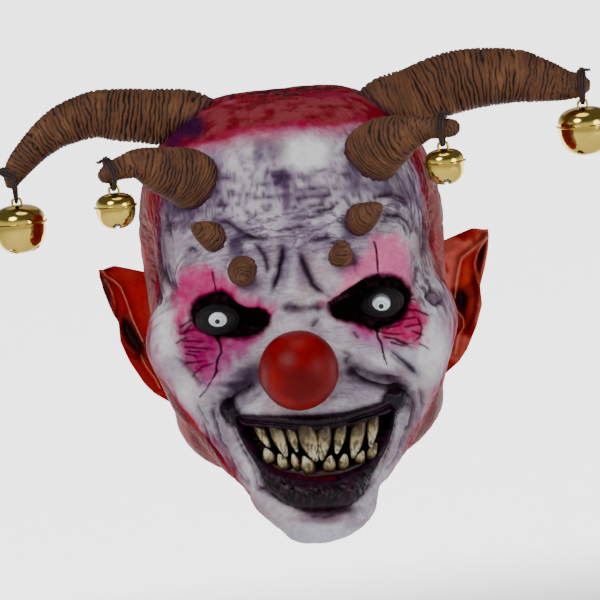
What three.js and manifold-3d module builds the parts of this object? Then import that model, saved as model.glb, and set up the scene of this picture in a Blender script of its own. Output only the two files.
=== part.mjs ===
// A full-head horned jester mask of cast latex, in millimetres, +Z up.
// The face looks along -Y and the wearer's right-hand side is at -X, as the viewer sees it from the front.
// The origin is where the wearer's crown touches the inside of the skin. The mask hangs from there as it does on
// a head. All heights below are taken from the eye line, and the whole mask is lowered onto its crown seat at
// the end.

import * as THREE from "three";
import { mergeVertices } from "three/addons/utils/BufferGeometryUtils.js";
import Module from "manifold-3d";

const wasm = await Module();
wasm.setup();

// Head sizes: ear root to ear root, nose root to nape, chin to crown
const HEAD_WIDTH = 216;
const HEAD_DEPTH = 240;
const HEAD_HEIGHT = 306;
const SKIN_WALL = 2.6;
const SEAT_GAP = 0.3;

// Mouth: the opening between the lips, and how far its floor lies behind them
const MOUTH_WIDTH = 102;
const MOUTH_TOP = -73;
const MOUTH_HEIGHT = 39;
const MOUTH_CORNER_LIFT = 5;
const MOUTH_RECESS = 15;
const RECESS_SLOPE = 5;
const LIP_BULGE = 4;
const UPPER_LIP_WIDTH = 6;
const LOWER_LIP_WIDTH = 17;

// Eyes and the holes that the wearer looks through
const EYE_SPACING = 112;
const EYE_WIDTH = 30;
const EYE_HEIGHT = 19;
const EYE_DEPTH = 24;
const EYE_PROUD = 11;
const SIGHT_SPACING = 64;
const SIGHT_WIDTH = 22;
const SIGHT_HEIGHT = 13;
const SIGHT_SLANT = 22;

// Nose ball
const NOSE_RADIUS = 27.5;
const NOSE_X = -5;
const NOSE_Z = -36;
const NOSE_PROUD = 43;

// Ears: pointed, standing out from the head's sides
const EAR_REACH = 32;
const EAR_HEIGHT = 100;
const EAR_TOP = 30;
const EAR_THICKNESS = 5;
const EAR_ROOT_DEPTH = 10;

// Horns and the four short spikes on the brow
const TOP_HORN_REACH = 140;
const TOP_HORN_RADIUS = 21.5;
const SIDE_HORN_REACH = 57;
const SIDE_HORN_RADIUS = 20;
const HORN_ROOT_DEPTH = 20;
const HORN_ROOT_SINK = 9;
const HORN_ROOT_GIRTH = 0.8;
const SPIKE_LENGTH = 22;
const SPIKE_RADIUS = 8;

// Sleigh bells: outer diameter of the cups, without the crimped rim
const LARGE_BELL = 38;
const SMALL_BELL = 27;
const BELL_CROWN_SHARE = 0.68;
const BELL_BOWL_SHARE = 1.14;
const BELL_WALL = 1;
const BELL_RIM = 1.3;
const BELL_SLOT = 2.4;
const BELL_HOLE = 6;
const EYE_RISE = 4.8;
const EYE_HALF_WIDTH = 3.2;
const EYE_WIRE = 1.8;
const PELLET_SHARE = 0.2;

// Cord ties that hold the bells to the horn tips
const CORD = 2;
const CORD_CLEARANCE = 0.35;
const SWING_ROOM = 0.9;
const TIE_FLAT = 2.6;
const KNOT_RADIUS = 2.2;
const TAIL_LENGTH = 6;

// Teeth
const TOOTH_LENGTH = 23;
const LOWER_TOOTH_LENGTH = 9;
const GUM_RADIUS = 4.5;
const BITE_SHIFT = 3;
const TEETH_PROUD = 11;

const LATEX_WHITE = new THREE.MeshStandardMaterial({ color: 0xc9c4c8, roughness: 0.55, metalness: 0 });
const HORN_BROWN = new THREE.MeshStandardMaterial({ color: 0x5d4023, roughness: 0.8, metalness: 0 });
const NOSE_RED = new THREE.MeshStandardMaterial({ color: 0xa81a10, roughness: 0.3, metalness: 0 });
const EYE_GLOSS = new THREE.MeshStandardMaterial({ color: 0x2a2024, roughness: 0.12, metalness: 0 });
const TOOTH_IVORY = new THREE.MeshStandardMaterial({ color: 0xcabf8c, roughness: 0.4, metalness: 0 });
const BELL_GOLD = new THREE.MeshStandardMaterial({ color: 0xd9b440, roughness: 0.12, metalness: 1 });
const PELLET_STEEL = new THREE.MeshStandardMaterial({ color: 0x8d8d90, roughness: 0.35, metalness: 1 });
const CORD_DARK = new THREE.MeshStandardMaterial({ color: 0x2c1a16, roughness: 0.9, metalness: 0 });

// Rounded masses that build the head. Centres and radii are shares of the head's width, depth and height; blend is
// a share of its width, and a paired mass stands on both sides.
const MASSES = [
  { name: "cranium", at: [0.13, 0.058, 0.163], radii: [0.37, 0.475, 0.307], blend: 0.111, paired: true },
  { name: "nape", at: [0, 0.108, -0.098], radii: [0.458, 0.408, 0.288], blend: 0.12, paired: false },
  { name: "neck_roll", at: [0, 0.117, -0.281], radii: [0.444, 0.375, 0.17], blend: 0.111, paired: false },
  { name: "face", at: [0, -0.133, -0.02], radii: [0.398, 0.3, 0.34], blend: 0.102, paired: false },
  {
    name: "cheekbone", at: [0.324, -0.208, -0.085], radii: [0.148, 0.15, 0.098],
    blend: 0.083, paired: true,
  },
  { name: "jowl", at: [0.278, -0.192, -0.183], radii: [0.162, 0.158, 0.111], blend: 0.083, paired: true },
  { name: "jaw", at: [0, -0.2, -0.285], radii: [0.332, 0.242, 0.17], blend: 0.093, paired: false },
  { name: "muzzle", at: [0, -0.258, -0.281], radii: [0.259, 0.192, 0.15], blend: 0.074, paired: false },
  { name: "chin", at: [-0.008, -0.342, -0.44], radii: [0.194, 0.133, 0.0945], blend: 0.065, paired: false },
  {
    name: "brow_outer", at: [0.259, -0.345, 0.098], radii: [0.116, 0.067, 0.042],
    blend: 0.055, paired: true,
  },
  {
    name: "brow_inner", at: [0.12, -0.395, 0.062], radii: [0.097, 0.0625, 0.042],
    blend: 0.055, paired: true,
  },
  { name: "bridge", at: [0, -0.383, -0.026], radii: [0.06, 0.071, 0.118], blend: 0.055, paired: false },
  {
    name: "cheek_apple", at: [0.204, -0.35, -0.124], radii: [0.111, 0.092, 0.056],
    blend: 0.055, paired: true,
  },
];

// Hollows pressed into those masses, in the same shares
const HOLLOWS = [
  { name: "eye_socket", at: [0.222, -0.471, 0], radii: [0.134, 0.092, 0.046], blend: 0.037, paired: true },
  { name: "temple", at: [0.537, -0.258, 0.131], radii: [0.102, 0.192, 0.131], blend: 0.083, paired: true },
];

const HEAD_SIZE = [HEAD_WIDTH, HEAD_DEPTH, HEAD_HEIGHT];

function placed(forms) {
  return forms.flatMap((form) =>
    (form.paired ? [1, -1] : [1]).map((side) => ({
      centre: form.at.map((share, axis) => share * HEAD_SIZE[axis] * (axis === 0 ? side : 1)),
      radii: form.radii.map((share, axis) => share * HEAD_SIZE[axis]),
      blend: form.blend * HEAD_WIDTH,
    })),
  );
}

const placedMasses = placed(MASSES);
const placedHollows = placed(HOLLOWS);

function ellipsoidDistance(point, form) {
  let scaled = 0;
  let steep = 0;
  const coordinates = [point.x, point.y, point.z];
  for (let axis = 0; axis < 3; axis += 1) {
    const share = (coordinates[axis] - form.centre[axis]) / form.radii[axis];
    scaled += share * share;
    steep += (share / form.radii[axis]) ** 2;
  }
  const length = Math.sqrt(scaled);
  return (length * (length - 1)) / Math.max(Math.sqrt(steep), 1e-9);
}

function blendMin(a, b, reach) {
  const overlap = Math.max(reach - Math.abs(a - b), 0) / reach;
  return Math.min(a, b) - overlap * overlap * reach * 0.25;
}

// Signed distance to the skin's outside, positive outside
function skinDistance(point) {
  let distance = Infinity;
  for (const mass of placedMasses) {
    const own = ellipsoidDistance(point, mass);
    distance = distance === Infinity ? own : blendMin(distance, own, mass.blend);
  }
  for (const hollow of placedHollows) {
    distance = -blendMin(-distance, ellipsoidDistance(point, hollow), hollow.blend);
  }
  return distance;
}

// The head's inner axis, from which every skin point is found: shares of the head's depth and height
const AXIS_TOP = { y: 0.033, z: 0.229 };
const AXIS_FRONT_BOTTOM = { y: -0.125, z: -0.333 };
const AXIS_BACK_BOTTOM = { y: 0.092, z: -0.261 };
// How far below level the neck rim is seen from the axis, in degrees, at the nape and under the chin
const RIM_DROP_BACK = 30;
const RIM_DROP_FRONT = 74;

// Rows of the skin: angles from straight up over the crown, shares down the axis, shares of the drop to the neck rim
const CROWN_ROWS = [18, 35, 51, 66, 79];
const FACE_ROWS = [
  0, 0.08, 0.15, 0.2, 0.25, 0.3, 0.36, 0.42, 0.48, 0.54, 0.61, 0.68, 0.75, 0.8, 0.83, 0.87, 0.93, 1,
];
const CHIN_ROWS = [0.1, 0.19, 0.28, 0.38, 0.5, 0.63, 0.77, 0.9, 1];
const SKIN_COLUMNS = 36;
const FRONT_CROWDING = 0.52;

const radians = THREE.MathUtils.degToRad;
const mix = THREE.MathUtils.lerp;

function skinRay(azimuth, row) {
  const front = Math.cos(azimuth / 2) ** 4;
  const bottomY = mix(AXIS_BACK_BOTTOM.y, AXIS_FRONT_BOTTOM.y, front) * HEAD_DEPTH;
  const bottomZ = mix(AXIS_BACK_BOTTOM.z, AXIS_FRONT_BOTTOM.z, front) * HEAD_HEIGHT;
  const topY = AXIS_TOP.y * HEAD_DEPTH;
  const topZ = AXIS_TOP.z * HEAD_HEIGHT;
  let start = new THREE.Vector3(0, topY, topZ);
  let lift = 0;
  if (row.crown !== undefined) {
    lift = Math.PI / 2 - radians(row.crown);
  } else if (row.face !== undefined) {
    start = new THREE.Vector3(0, mix(topY, bottomY, row.face), mix(topZ, bottomZ, row.face));
  } else {
    start = new THREE.Vector3(0, bottomY, bottomZ);
    lift = -radians(mix(RIM_DROP_BACK, RIM_DROP_FRONT, front ** 1.5)) * row.chin;
  }
  const level = Math.cos(lift);
  const direction = new THREE.Vector3(level * Math.sin(azimuth), -level * Math.cos(azimuth), Math.sin(lift));
  return { start, direction };
}

// How far out along a ray the skin lies, at an offset from its outside
function reachAlong({ start, direction }, offset) {
  const probe = (reach) => skinDistance(start.clone().addScaledVector(direction, reach)) - offset;
  const step = 3;
  let near = 0;
  while (probe(near + step) < 0) near += step;
  let far = near + step;
  for (let halving = 0; halving < 24; halving += 1) {
    const middle = (near + far) / 2;
    if (probe(middle) < 0) near = middle;
    else far = middle;
  }
  return (near + far) / 2;
}

// Distance inside the mouth opening, seen from the front, and negative outside it
function mouthInside(x, z) {
  const half = MOUTH_WIDTH / 2;
  const share = Math.min(Math.abs(x) / half, 1.15);
  const top = MOUTH_TOP + MOUTH_CORNER_LIFT * share * share;
  const bottom = MOUTH_TOP - MOUTH_HEIGHT + (MOUTH_HEIGHT + MOUTH_CORNER_LIFT) * share ** 4;
  return Math.min(top - z, z - bottom, half - Math.abs(x));
}

// Push of the lips and the mouth's hollow, along the ray, for a skin point on the face
function mouthPush(point, widen) {
  if (point.y > AXIS_FRONT_BOTTOM.y * HEAD_DEPTH) return 0;
  const inside = mouthInside(point.x, point.z) + widen;
  const hollow = MOUTH_RECESS * THREE.MathUtils.smoothstep(inside, 0, RECESS_SLOPE);
  const below = point.z < MOUTH_TOP - MOUTH_HEIGHT / 2;
  const thinning = Math.max(1 - ((2 * point.x) / MOUTH_WIDTH) ** 2, 0.3);
  const lipWidth = below ? LOWER_LIP_WIDTH * thinning : UPPER_LIP_WIDTH;
  const across = THREE.MathUtils.clamp((widen - inside) / lipWidth, 0, 1);
  return LIP_BULGE * Math.sin(Math.PI * across) - hollow;
}

function skinPoint(azimuth, row, offset) {
  const ray = skinRay(azimuth, row);
  const outside = ray.start.clone().addScaledVector(ray.direction, reachAlong(ray, 0));
  const widen = offset < 0 ? -offset : 0;
  const reach = reachAlong(ray, offset) + mouthPush(outside, widen);
  return ray.start.clone().addScaledVector(ray.direction, reach);
}

function skinRows() {
  return [
    ...CROWN_ROWS.map((crown) => ({ crown })),
    ...FACE_ROWS.map((face) => ({ face })),
    ...CHIN_ROWS.map((chin) => ({ chin })),
  ];
}

function skinAzimuth(column) {
  const turn = (2 * column) / SKIN_COLUMNS - 1;
  return Math.PI * turn - FRONT_CROWDING * Math.sin(Math.PI * turn);
}

// The skin's points at an offset from its outside: the crown's pole, then one ring for each row
function skinRings(offset) {
  const pole = skinPoint(0, { crown: 0 }, offset);
  const rings = skinRows().map((row) =>
    Array.from({ length: SKIN_COLUMNS }, (_, column) => skinPoint(skinAzimuth(column), row, offset)),
  );
  return { pole, rings };
}

class Triangles {
  constructor() {
    this.positions = [];
  }
  triangle(a, b, c) {
    this.positions.push(...a.toArray(), ...b.toArray(), ...c.toArray());
  }
  quad(a, b, c, d) {
    this.triangle(a, b, c);
    this.triangle(a, c, d);
  }
  // The same two triangles as the quad's, facing the other way
  quadFromInside(a, b, c, d) {
    this.triangle(a, c, b);
    this.triangle(a, d, c);
  }
  // Joins two rings of equal count; the first lies before the second when seen along the outward thumb rule
  band(first, second) {
    for (let i = 0; i < first.length; i += 1) {
      const next = (i + 1) % first.length;
      this.quad(first[i], second[i], second[next], first[next]);
    }
  }
  lining(first, second) {
    for (let i = 0; i < first.length; i += 1) {
      const next = (i + 1) % first.length;
      this.quadFromInside(first[i], second[i], second[next], first[next]);
    }
  }
  fan(tip, ring, outward) {
    for (let i = 0; i < ring.length; i += 1) {
      const next = (i + 1) % ring.length;
      if (outward) this.triangle(tip, ring[i], ring[next]);
      else this.triangle(tip, ring[next], ring[i]);
    }
  }
  geometry() {
    const geometry = new THREE.BufferGeometry();
    geometry.setAttribute("position", new THREE.Float32BufferAttribute(this.positions, 3));
    return geometry;
  }
}

function solidOf(geometry) {
  const bare = geometry.clone();
  for (const name of Object.keys(bare.attributes)) {
    if (name !== "position") bare.deleteAttribute(name);
  }
  const merged = mergeVertices(bare, 1e-4);
  const vertProperties = new Float32Array(merged.attributes.position.array);
  const triVerts = new Uint32Array(merged.index.array);
  return new wasm.Manifold(new wasm.Mesh({ numProp: 3, vertProperties, triVerts }));
}

function geometryOf(solid) {
  const mesh = solid.getMesh();
  const geometry = new THREE.BufferGeometry();
  geometry.setAttribute("position", new THREE.BufferAttribute(new Float32Array(mesh.vertProperties), 3));
  geometry.setIndex(new THREE.BufferAttribute(new Uint32Array(mesh.triVerts), 1));
  geometry.computeVertexNormals();
  return geometry;
}

// What stays of a solid once its seat is cut: its largest body, without loose slivers
function largestBody(solid) {
  return solid.decompose().reduce((most, body) => (body.volume() > most.volume() ? body : most));
}

function meshOf(name, solid, material) {
  const mesh = new THREE.Mesh(geometryOf(solid), material);
  mesh.name = name;
  return mesh;
}

// The head as one filled solid, closed over the neck, grown by an offset. It cuts the seats of what stands on
// the skin.
function filledHead(offset) {
  const { pole, rings } = skinRings(offset);
  const shape = new Triangles();
  shape.fan(pole, rings[0], true);
  for (let i = 1; i < rings.length; i += 1) shape.band(rings[i - 1], rings[i]);
  const last = rings[rings.length - 1];
  const middle = last.reduce((sum, point) => sum.add(point), new THREE.Vector3()).divideScalar(last.length);
  shape.fan(middle, last, false);
  return solidOf(shape.geometry());
}

// The hollow skin: outside, inside and the cut edge round the neck
function hollowHead() {
  const outer = skinRings(0);
  const inner = skinRings(-SKIN_WALL);
  const shape = new Triangles();
  shape.fan(outer.pole, outer.rings[0], true);
  shape.fan(inner.pole, inner.rings[0], false);
  for (let i = 1; i < outer.rings.length; i += 1) {
    shape.band(outer.rings[i - 1], outer.rings[i]);
    shape.lining(inner.rings[i - 1], inner.rings[i]);
  }
  shape.band(outer.rings[outer.rings.length - 1], inner.rings[inner.rings.length - 1]);
  return solidOf(shape.geometry());
}

// Closed loft through rings of equal count, with a flat or pointed end at each side
function loft(rings) {
  const shape = new Triangles();
  const centreOf = (ring) => {
    const sum = ring.reduce((total, p) => total.add(p), new THREE.Vector3());
    return sum.divideScalar(ring.length);
  };
  shape.fan(centreOf(rings[0]), rings[0], true);
  for (let i = 1; i < rings.length; i += 1) shape.band(rings[i - 1], rings[i]);
  shape.fan(centreOf(rings[rings.length - 1]), rings[rings.length - 1], false);
  return solidOf(shape.geometry());
}

// A ring of points square to an axis
function ringAt(centre, axis, radius, sides, squash = 1, upright = new THREE.Vector3(0, 0, 1)) {
  const side = new THREE.Vector3().crossVectors(axis, upright).normalize();
  const up = new THREE.Vector3().crossVectors(side, axis).normalize();
  return Array.from({ length: sides }, (_, i) => {
    const turn = (2 * Math.PI * i) / sides;
    return centre
      .clone()
      .addScaledVector(side, Math.cos(turn) * radius)
      .addScaledVector(up, Math.sin(turn) * radius * squash);
  });
}

// A tube along points that close on themselves
function closedTube(points, radius, sides) {
  const count = points.length;
  const shape = new Triangles();
  const middle = points.reduce((sum, p) => sum.add(p), new THREE.Vector3()).divideScalar(count);
  const normal = new THREE.Vector3();
  for (let i = 0; i < count; i += 1) {
    const spokes = points[i].clone().sub(middle).cross(points[(i + 1) % count].clone().sub(middle));
    normal.add(spokes);
  }
  normal.normalize();
  const rings = points.map((point, i) => {
    const along = points[(i + 1) % count].clone().sub(points[(i - 1 + count) % count]).normalize();
    return ringAt(point, along, radius, sides, 1, normal);
  });
  for (let i = 0; i < count; i += 1) shape.band(rings[i], rings[(i + 1) % count]);
  return solidOf(shape.geometry());
}

function tubeAlong(points, radius, sides, steps) {
  const path = new THREE.CatmullRomCurve3(points, false, "centripetal");
  const section = new THREE.Shape(
    Array.from({ length: sides }, (_, i) => {
      const turn = (2 * Math.PI * i) / sides;
      return new THREE.Vector2(Math.cos(turn) * radius, Math.sin(turn) * radius);
    }),
  );
  const geometry = new THREE.ExtrudeGeometry(section, { steps, extrudePath: path, bevelEnabled: false });
  return solidOf(geometry);
}

// Ears. Each row is a level cut: height and reach as shares of the ear, the root's and the rim's place front to back
// as shares of the head's depth, and how far the ear's middle bows back, as a share of its reach.
const EAR_ROWS = [
  { up: 0.0, reach: 0.1, root: 0.0, rim: 0.03, bow: 0.05 },
  { up: 0.14, reach: 0.28, root: -0.01, rim: 0.08, bow: 0.2 },
  { up: 0.28, reach: 0.56, root: -0.02, rim: 0.13, bow: 0.3 },
  { up: 0.42, reach: 0.85, root: -0.02, rim: 0.165, bow: 0.36 },
  { up: 0.55, reach: 0.93, root: -0.01, rim: 0.18, bow: 0.38 },
  { up: 0.68, reach: 0.88, root: 0.0, rim: 0.185, bow: 0.34 },
  { up: 0.8, reach: 0.94, root: 0.02, rim: 0.185, bow: 0.28 },
  { up: 0.91, reach: 1.04, root: 0.05, rim: 0.18, bow: 0.2 },
];
const EAR_TIP = { up: 1.02, reach: 1.15, rim: 0.175 };
const EAR_ROOT_X = 0.465;

// One level cut of an ear: front face from the root to the rim, then the back face home again
function earCut(side, row) {
  const z = EAR_TOP - EAR_HEIGHT * (1 - row.up);
  const rootX = EAR_ROOT_X * HEAD_WIDTH - EAR_ROOT_DEPTH;
  const root = new THREE.Vector2(rootX, row.root * HEAD_DEPTH);
  const rim = new THREE.Vector2(EAR_ROOT_X * HEAD_WIDTH + EAR_REACH * row.reach, row.rim * HEAD_DEPTH);
  const along = rim.clone().sub(root).normalize();
  const back = new THREE.Vector2(-along.y, along.x);
  const middle = root.clone().lerp(rim, 0.55).addScaledVector(back, row.bow * EAR_REACH);
  const curve = new THREE.QuadraticBezierCurve(root, middle, rim);
  const front = curve.getPoints(4);
  const rear = front
    .map((point, i) => point.clone().addScaledVector(back, EAR_THICKNESS * (i === front.length - 1 ? 0.7 : 1)))
    .reverse();
  return [...front, ...rear].map((point) => new THREE.Vector3(side * point.x, point.y, z));
}

function earSolid(side) {
  const rings = EAR_ROWS.map((row) => earCut(side, row));
  const tipHeight = EAR_TOP - EAR_HEIGHT * (1 - EAR_TIP.up);
  const last = rings[rings.length - 1];
  const tip = new THREE.Vector3(
    side * (EAR_ROOT_X * HEAD_WIDTH + EAR_REACH * EAR_TIP.reach),
    EAR_TIP.rim * HEAD_DEPTH,
    tipHeight,
  );
  const tipRing = last.map((point) => point.clone().lerp(tip, 0.86));
  const ordered = [...rings, tipRing];
  if (side > 0) return loft(ordered.map((ring) => [...ring].reverse()));
  return loft(ordered);
}

function sightHole(side) {
  const outline = new THREE.Shape();
  outline.absellipse(0, 0, SIGHT_WIDTH / 2, SIGHT_HEIGHT / 2, 0, 2 * Math.PI);
  const cut = { depth: HEAD_DEPTH / 2, bevelEnabled: false, curveSegments: 8 };
  const geometry = new THREE.ExtrudeGeometry(outline, cut);
  geometry.rotateX(Math.PI / 2);
  geometry.rotateY(-side * radians(SIGHT_SLANT));
  geometry.translate((side * SIGHT_SPACING) / 2, -HEAD_DEPTH / 4, 0);
  return solidOf(geometry);
}

// Horns. Each row is a section along the horn: out, up and forward from its foot as shares of its reach, and its
// radius as a share of the foot's.
const TOP_LEFT_ROWS = [
  { out: 0, up: 0, forward: 0, girth: 1 },
  { out: 0.19, up: 0.037, forward: 0, girth: 0.9 },
  { out: 0.34, up: 0.062, forward: 0, girth: 0.86 },
  { out: 0.465, up: 0.075, forward: 0, girth: 0.77 },
  { out: 0.628, up: 0.037, forward: 0, girth: 0.67 },
  { out: 0.757, up: -0.042, forward: 0, girth: 0.54 },
  { out: 0.852, up: -0.125, forward: 0, girth: 0.45 },
  { out: 0.9, up: -0.19, forward: 0, girth: 0.35 },
  { out: 0.92, up: -0.25, forward: 0, girth: 0.16 },
];
const TOP_RIGHT_ROWS = [
  { out: 0, up: 0, forward: 0, girth: 1 },
  { out: 0.168, up: 0.045, forward: 0, girth: 1.02 },
  { out: 0.299, up: 0.087, forward: 0, girth: 1.02 },
  { out: 0.428, up: 0.105, forward: 0, girth: 1 },
  { out: 0.556, up: 0.107, forward: 0, girth: 0.95 },
  { out: 0.678, up: 0.098, forward: 0, girth: 0.88 },
  { out: 0.795, up: 0.065, forward: 0, girth: 0.73 },
  { out: 0.919, up: 0.027, forward: 0, girth: 0.52 },
  { out: 1.0, up: 0.018, forward: 0, girth: 0.38 },
  { out: 1.045, up: 0.012, forward: 0, girth: 0.17 },
];
const SIDE_LEFT_ROWS = [
  { out: 0, up: 0, forward: 0, girth: 1 },
  { out: 0.288, up: 0.148, forward: 0.176, girth: 0.82 },
  { out: 0.559, up: 0.272, forward: 0.316, girth: 0.56 },
  { out: 0.75, up: 0.262, forward: 0.369, girth: 0.42 },
  { out: 0.898, up: 0.223, forward: 0.404, girth: 0.35 },
  { out: 1, up: 0.174, forward: 0.422, girth: 0.27 },
  { out: 1.05, up: 0.145, forward: 0.43, girth: 0.12 },
];
const SIDE_RIGHT_ROWS = [
  { out: 0, up: 0, forward: 0, girth: 1.03 },
  { out: 0.267, up: 0.158, forward: 0.211, girth: 0.82 },
  { out: 0.425, up: 0.214, forward: 0.316, girth: 0.62 },
  { out: 0.645, up: 0.271, forward: 0.387, girth: 0.43 },
  { out: 0.81, up: 0.253, forward: 0.422, girth: 0.36 },
  { out: 0.97, up: 0.238, forward: 0.439, girth: 0.28 },
  { out: 1.03, up: 0.23, forward: 0.445, girth: 0.12 },
];

// Where each horn stands: its foot as shares of the head, its tie's place as a row of its table, its bell's size and
// how far the bell's slots are turned
const HORNS = [
  {
    place: "top_left", side: -1, foot: [0.3, 0.033, 0.423], rows: TOP_LEFT_ROWS, tieRow: 7,
    large: true, turn: -25,
  },
  {
    place: "top_right", side: 1, foot: [0.34, 0.033, 0.4], rows: TOP_RIGHT_ROWS, tieRow: 8,
    large: true, turn: -25,
  },
  {
    place: "side_left", side: -1, foot: [0.304, -0.3, 0.314], rows: SIDE_LEFT_ROWS, tieRow: 4, large: false,
    turn: -12,
  },
  {
    place: "side_right", side: 1, foot: [0.287, -0.292, 0.329], rows: SIDE_RIGHT_ROWS, tieRow: 4, large: false,
    turn: 9,
  },
];

// A horn's sections as centres, directions and radii
function hornSections(horn) {
  const reach = horn.large ? TOP_HORN_REACH : SIDE_HORN_REACH;
  const girth = horn.large ? TOP_HORN_RADIUS : SIDE_HORN_RADIUS;
  const foot = new THREE.Vector3(
    horn.side * horn.foot[0] * HEAD_WIDTH,
    horn.foot[1] * HEAD_DEPTH,
    horn.foot[2] * HEAD_HEIGHT,
  );
  const centres = horn.rows.map((row) =>
    foot.clone().add(new THREE.Vector3(horn.side * row.out, -row.forward, row.up).multiplyScalar(reach)),
  );
  return centres.map((centre, i) => ({
    centre,
    axis: centres[Math.min(i + 1, centres.length - 1)].clone().sub(centres[Math.max(i - 1, 0)]).normalize(),
    radius: horn.rows[i].girth * girth,
  }));
}

function hornSolid(sections, sides) {
  const foot = sections[0];
  const root = foot.centre.clone().addScaledVector(foot.axis, -HORN_ROOT_DEPTH);
  root.z -= HORN_ROOT_SINK;
  const rings = [ringAt(root, foot.axis, foot.radius * HORN_ROOT_GIRTH, sides)];
  for (const section of sections) rings.push(ringAt(section.centre, section.axis, section.radius, sides));
  return loft(rings);
}

// Brow spikes: foot as shares of the head, and the way the point leans
const SPIKES = [
  { place: "upper_left", foot: [-0.235, -0.375, 0.181], lean: [-0.62, -0.62, 0.48] },
  { place: "upper_right", foot: [0.205, -0.38, 0.186], lean: [0.66, -0.62, 0.42] },
  { place: "lower_left", foot: [-0.162, -0.41, 0.108], lean: [-0.05, -1, -0.1] },
  { place: "lower_right", foot: [0.144, -0.41, 0.104], lean: [0.08, -0.86, 0.5] },
];
const SPIKE_ROWS = [
  { along: -0.6, girth: 1 },
  { along: 0.1, girth: 1 },
  { along: 0.45, girth: 0.8 },
  { along: 0.8, girth: 0.45 },
  { along: 1, girth: 0.14 },
];

function spikeSolid(spike) {
  const lean = new THREE.Vector3(...spike.lean).normalize();
  const foot = new THREE.Vector3(...spike.foot.map((share, axis) => share * HEAD_SIZE[axis]));
  const rings = SPIKE_ROWS.map((row) =>
    ringAt(foot.clone().addScaledVector(lean, row.along * SPIKE_LENGTH), lean, row.girth * SPIKE_RADIUS, 7),
  );
  return loft(rings);
}

function sphereSolid(radius, across, down) {
  return solidOf(new THREE.SphereGeometry(radius, across, down));
}

// Teeth. Each row is one tooth: its place across the mouth as a share of half the mouth's width, its width as a share
// of that half, and its length as a share of the longest in its row.
const UPPER_TEETH = [
  { across: -0.72, width: 0.19, length: 0.66 },
  { across: -0.52, width: 0.19, length: 0.82 },
  { across: -0.335, width: 0.165, length: 0.75 },
  { across: -0.12, width: 0.25, length: 1 },
  { across: 0.12, width: 0.18, length: 0.96 },
  { across: 0.32, width: 0.165, length: 0.8 },
  { across: 0.54, width: 0.19, length: 0.84 },
  { across: 0.745, width: 0.16, length: 0.68 },
];
const LOWER_TEETH = [
  { across: -0.64, width: 0.17, length: 0.8 },
  { across: -0.46, width: 0.16, length: 0.85 },
  { across: -0.3, width: 0.15, length: 0.95 },
  { across: -0.11, width: 0.2, length: 1 },
  { across: 0.13, width: 0.17, length: 1 },
  { across: 0.33, width: 0.15, length: 0.95 },
  { across: 0.53, width: 0.15, length: 0.8 },
  { across: 0.72, width: 0.15, length: 0.75 },
];
const UPPER_GUM_DROP = 3;
const LOWER_GUM_RISE = 5.6;
const TOOTH_ROWS = [
  { along: 0, girth: 0.8 },
  { along: 0.3, girth: 1 },
  { along: 0.72, girth: 0.75 },
  { along: 1, girth: 0.16 },
];
const TOOTH_DEPTH = 0.55;

// The mouth's floor at a place across it: the skin's own front, without the recess
function gumPoint(across, z) {
  const x = BITE_SHIFT + (across * MOUTH_WIDTH) / 2;
  const start = new THREE.Vector3(x, AXIS_FRONT_BOTTOM.y * HEAD_DEPTH, z);
  const reach = reachAlong({ start, direction: new THREE.Vector3(0, -1, 0) }, 0);
  return new THREE.Vector3(x, start.y - reach + MOUTH_RECESS - TEETH_PROUD + GUM_RADIUS, z);
}

const GUM_STATIONS = [-0.82, -0.6, -0.35, -0.1, 0.15, 0.4, 0.62, 0.84];

function teethSolid(teeth, gumHeight, longest, down) {
  const gumPath = GUM_STATIONS.map((across) => gumPoint(across, gumHeight(across)));
  let solid = tubeAlong(gumPath, GUM_RADIUS, 6, 9);
  for (const tooth of teeth) {
    const root = gumPoint(tooth.across, gumHeight(tooth.across));
    root.y -= GUM_RADIUS * 0.45;
    const length = tooth.length * longest;
    const lean = new THREE.Vector3(0, -0.06, down ? -1 : 1).normalize();
    const sideways = new THREE.Vector3(0, 1, 0);
    const rings = TOOTH_ROWS.map((row) => {
      const centre = root.clone().addScaledVector(lean, row.along * length);
      return ringAt(centre, lean, (row.girth * tooth.width * MOUTH_WIDTH) / 4, 6, TOOTH_DEPTH, sideways);
    });
    solid = solid.add(loft(rings));
  }
  return solid;
}

// Bells. Heights are from the middle of the rim.
function bellSizes(horn) {
  const radius = (horn.large ? LARGE_BELL : SMALL_BELL) / 2;
  const height = radius * BELL_CROWN_SHARE;
  const bowl = radius * BELL_BOWL_SHARE;
  return { radius, height, bowl, pivotAbove: height + EYE_RISE - EYE_WIRE / 2 - CORD_CLEARANCE - CORD / 2 };
}

function cupProfile(radius, height, bowl, levels) {
  const roundness = 2.5;
  return levels.map((level) => {
    const across = radius * (1 - Math.abs(level) ** roundness) ** (1 / roundness);
    return new THREE.Vector2(Math.max(across, 0), level * (level < 0 ? bowl : height));
  });
}

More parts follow.
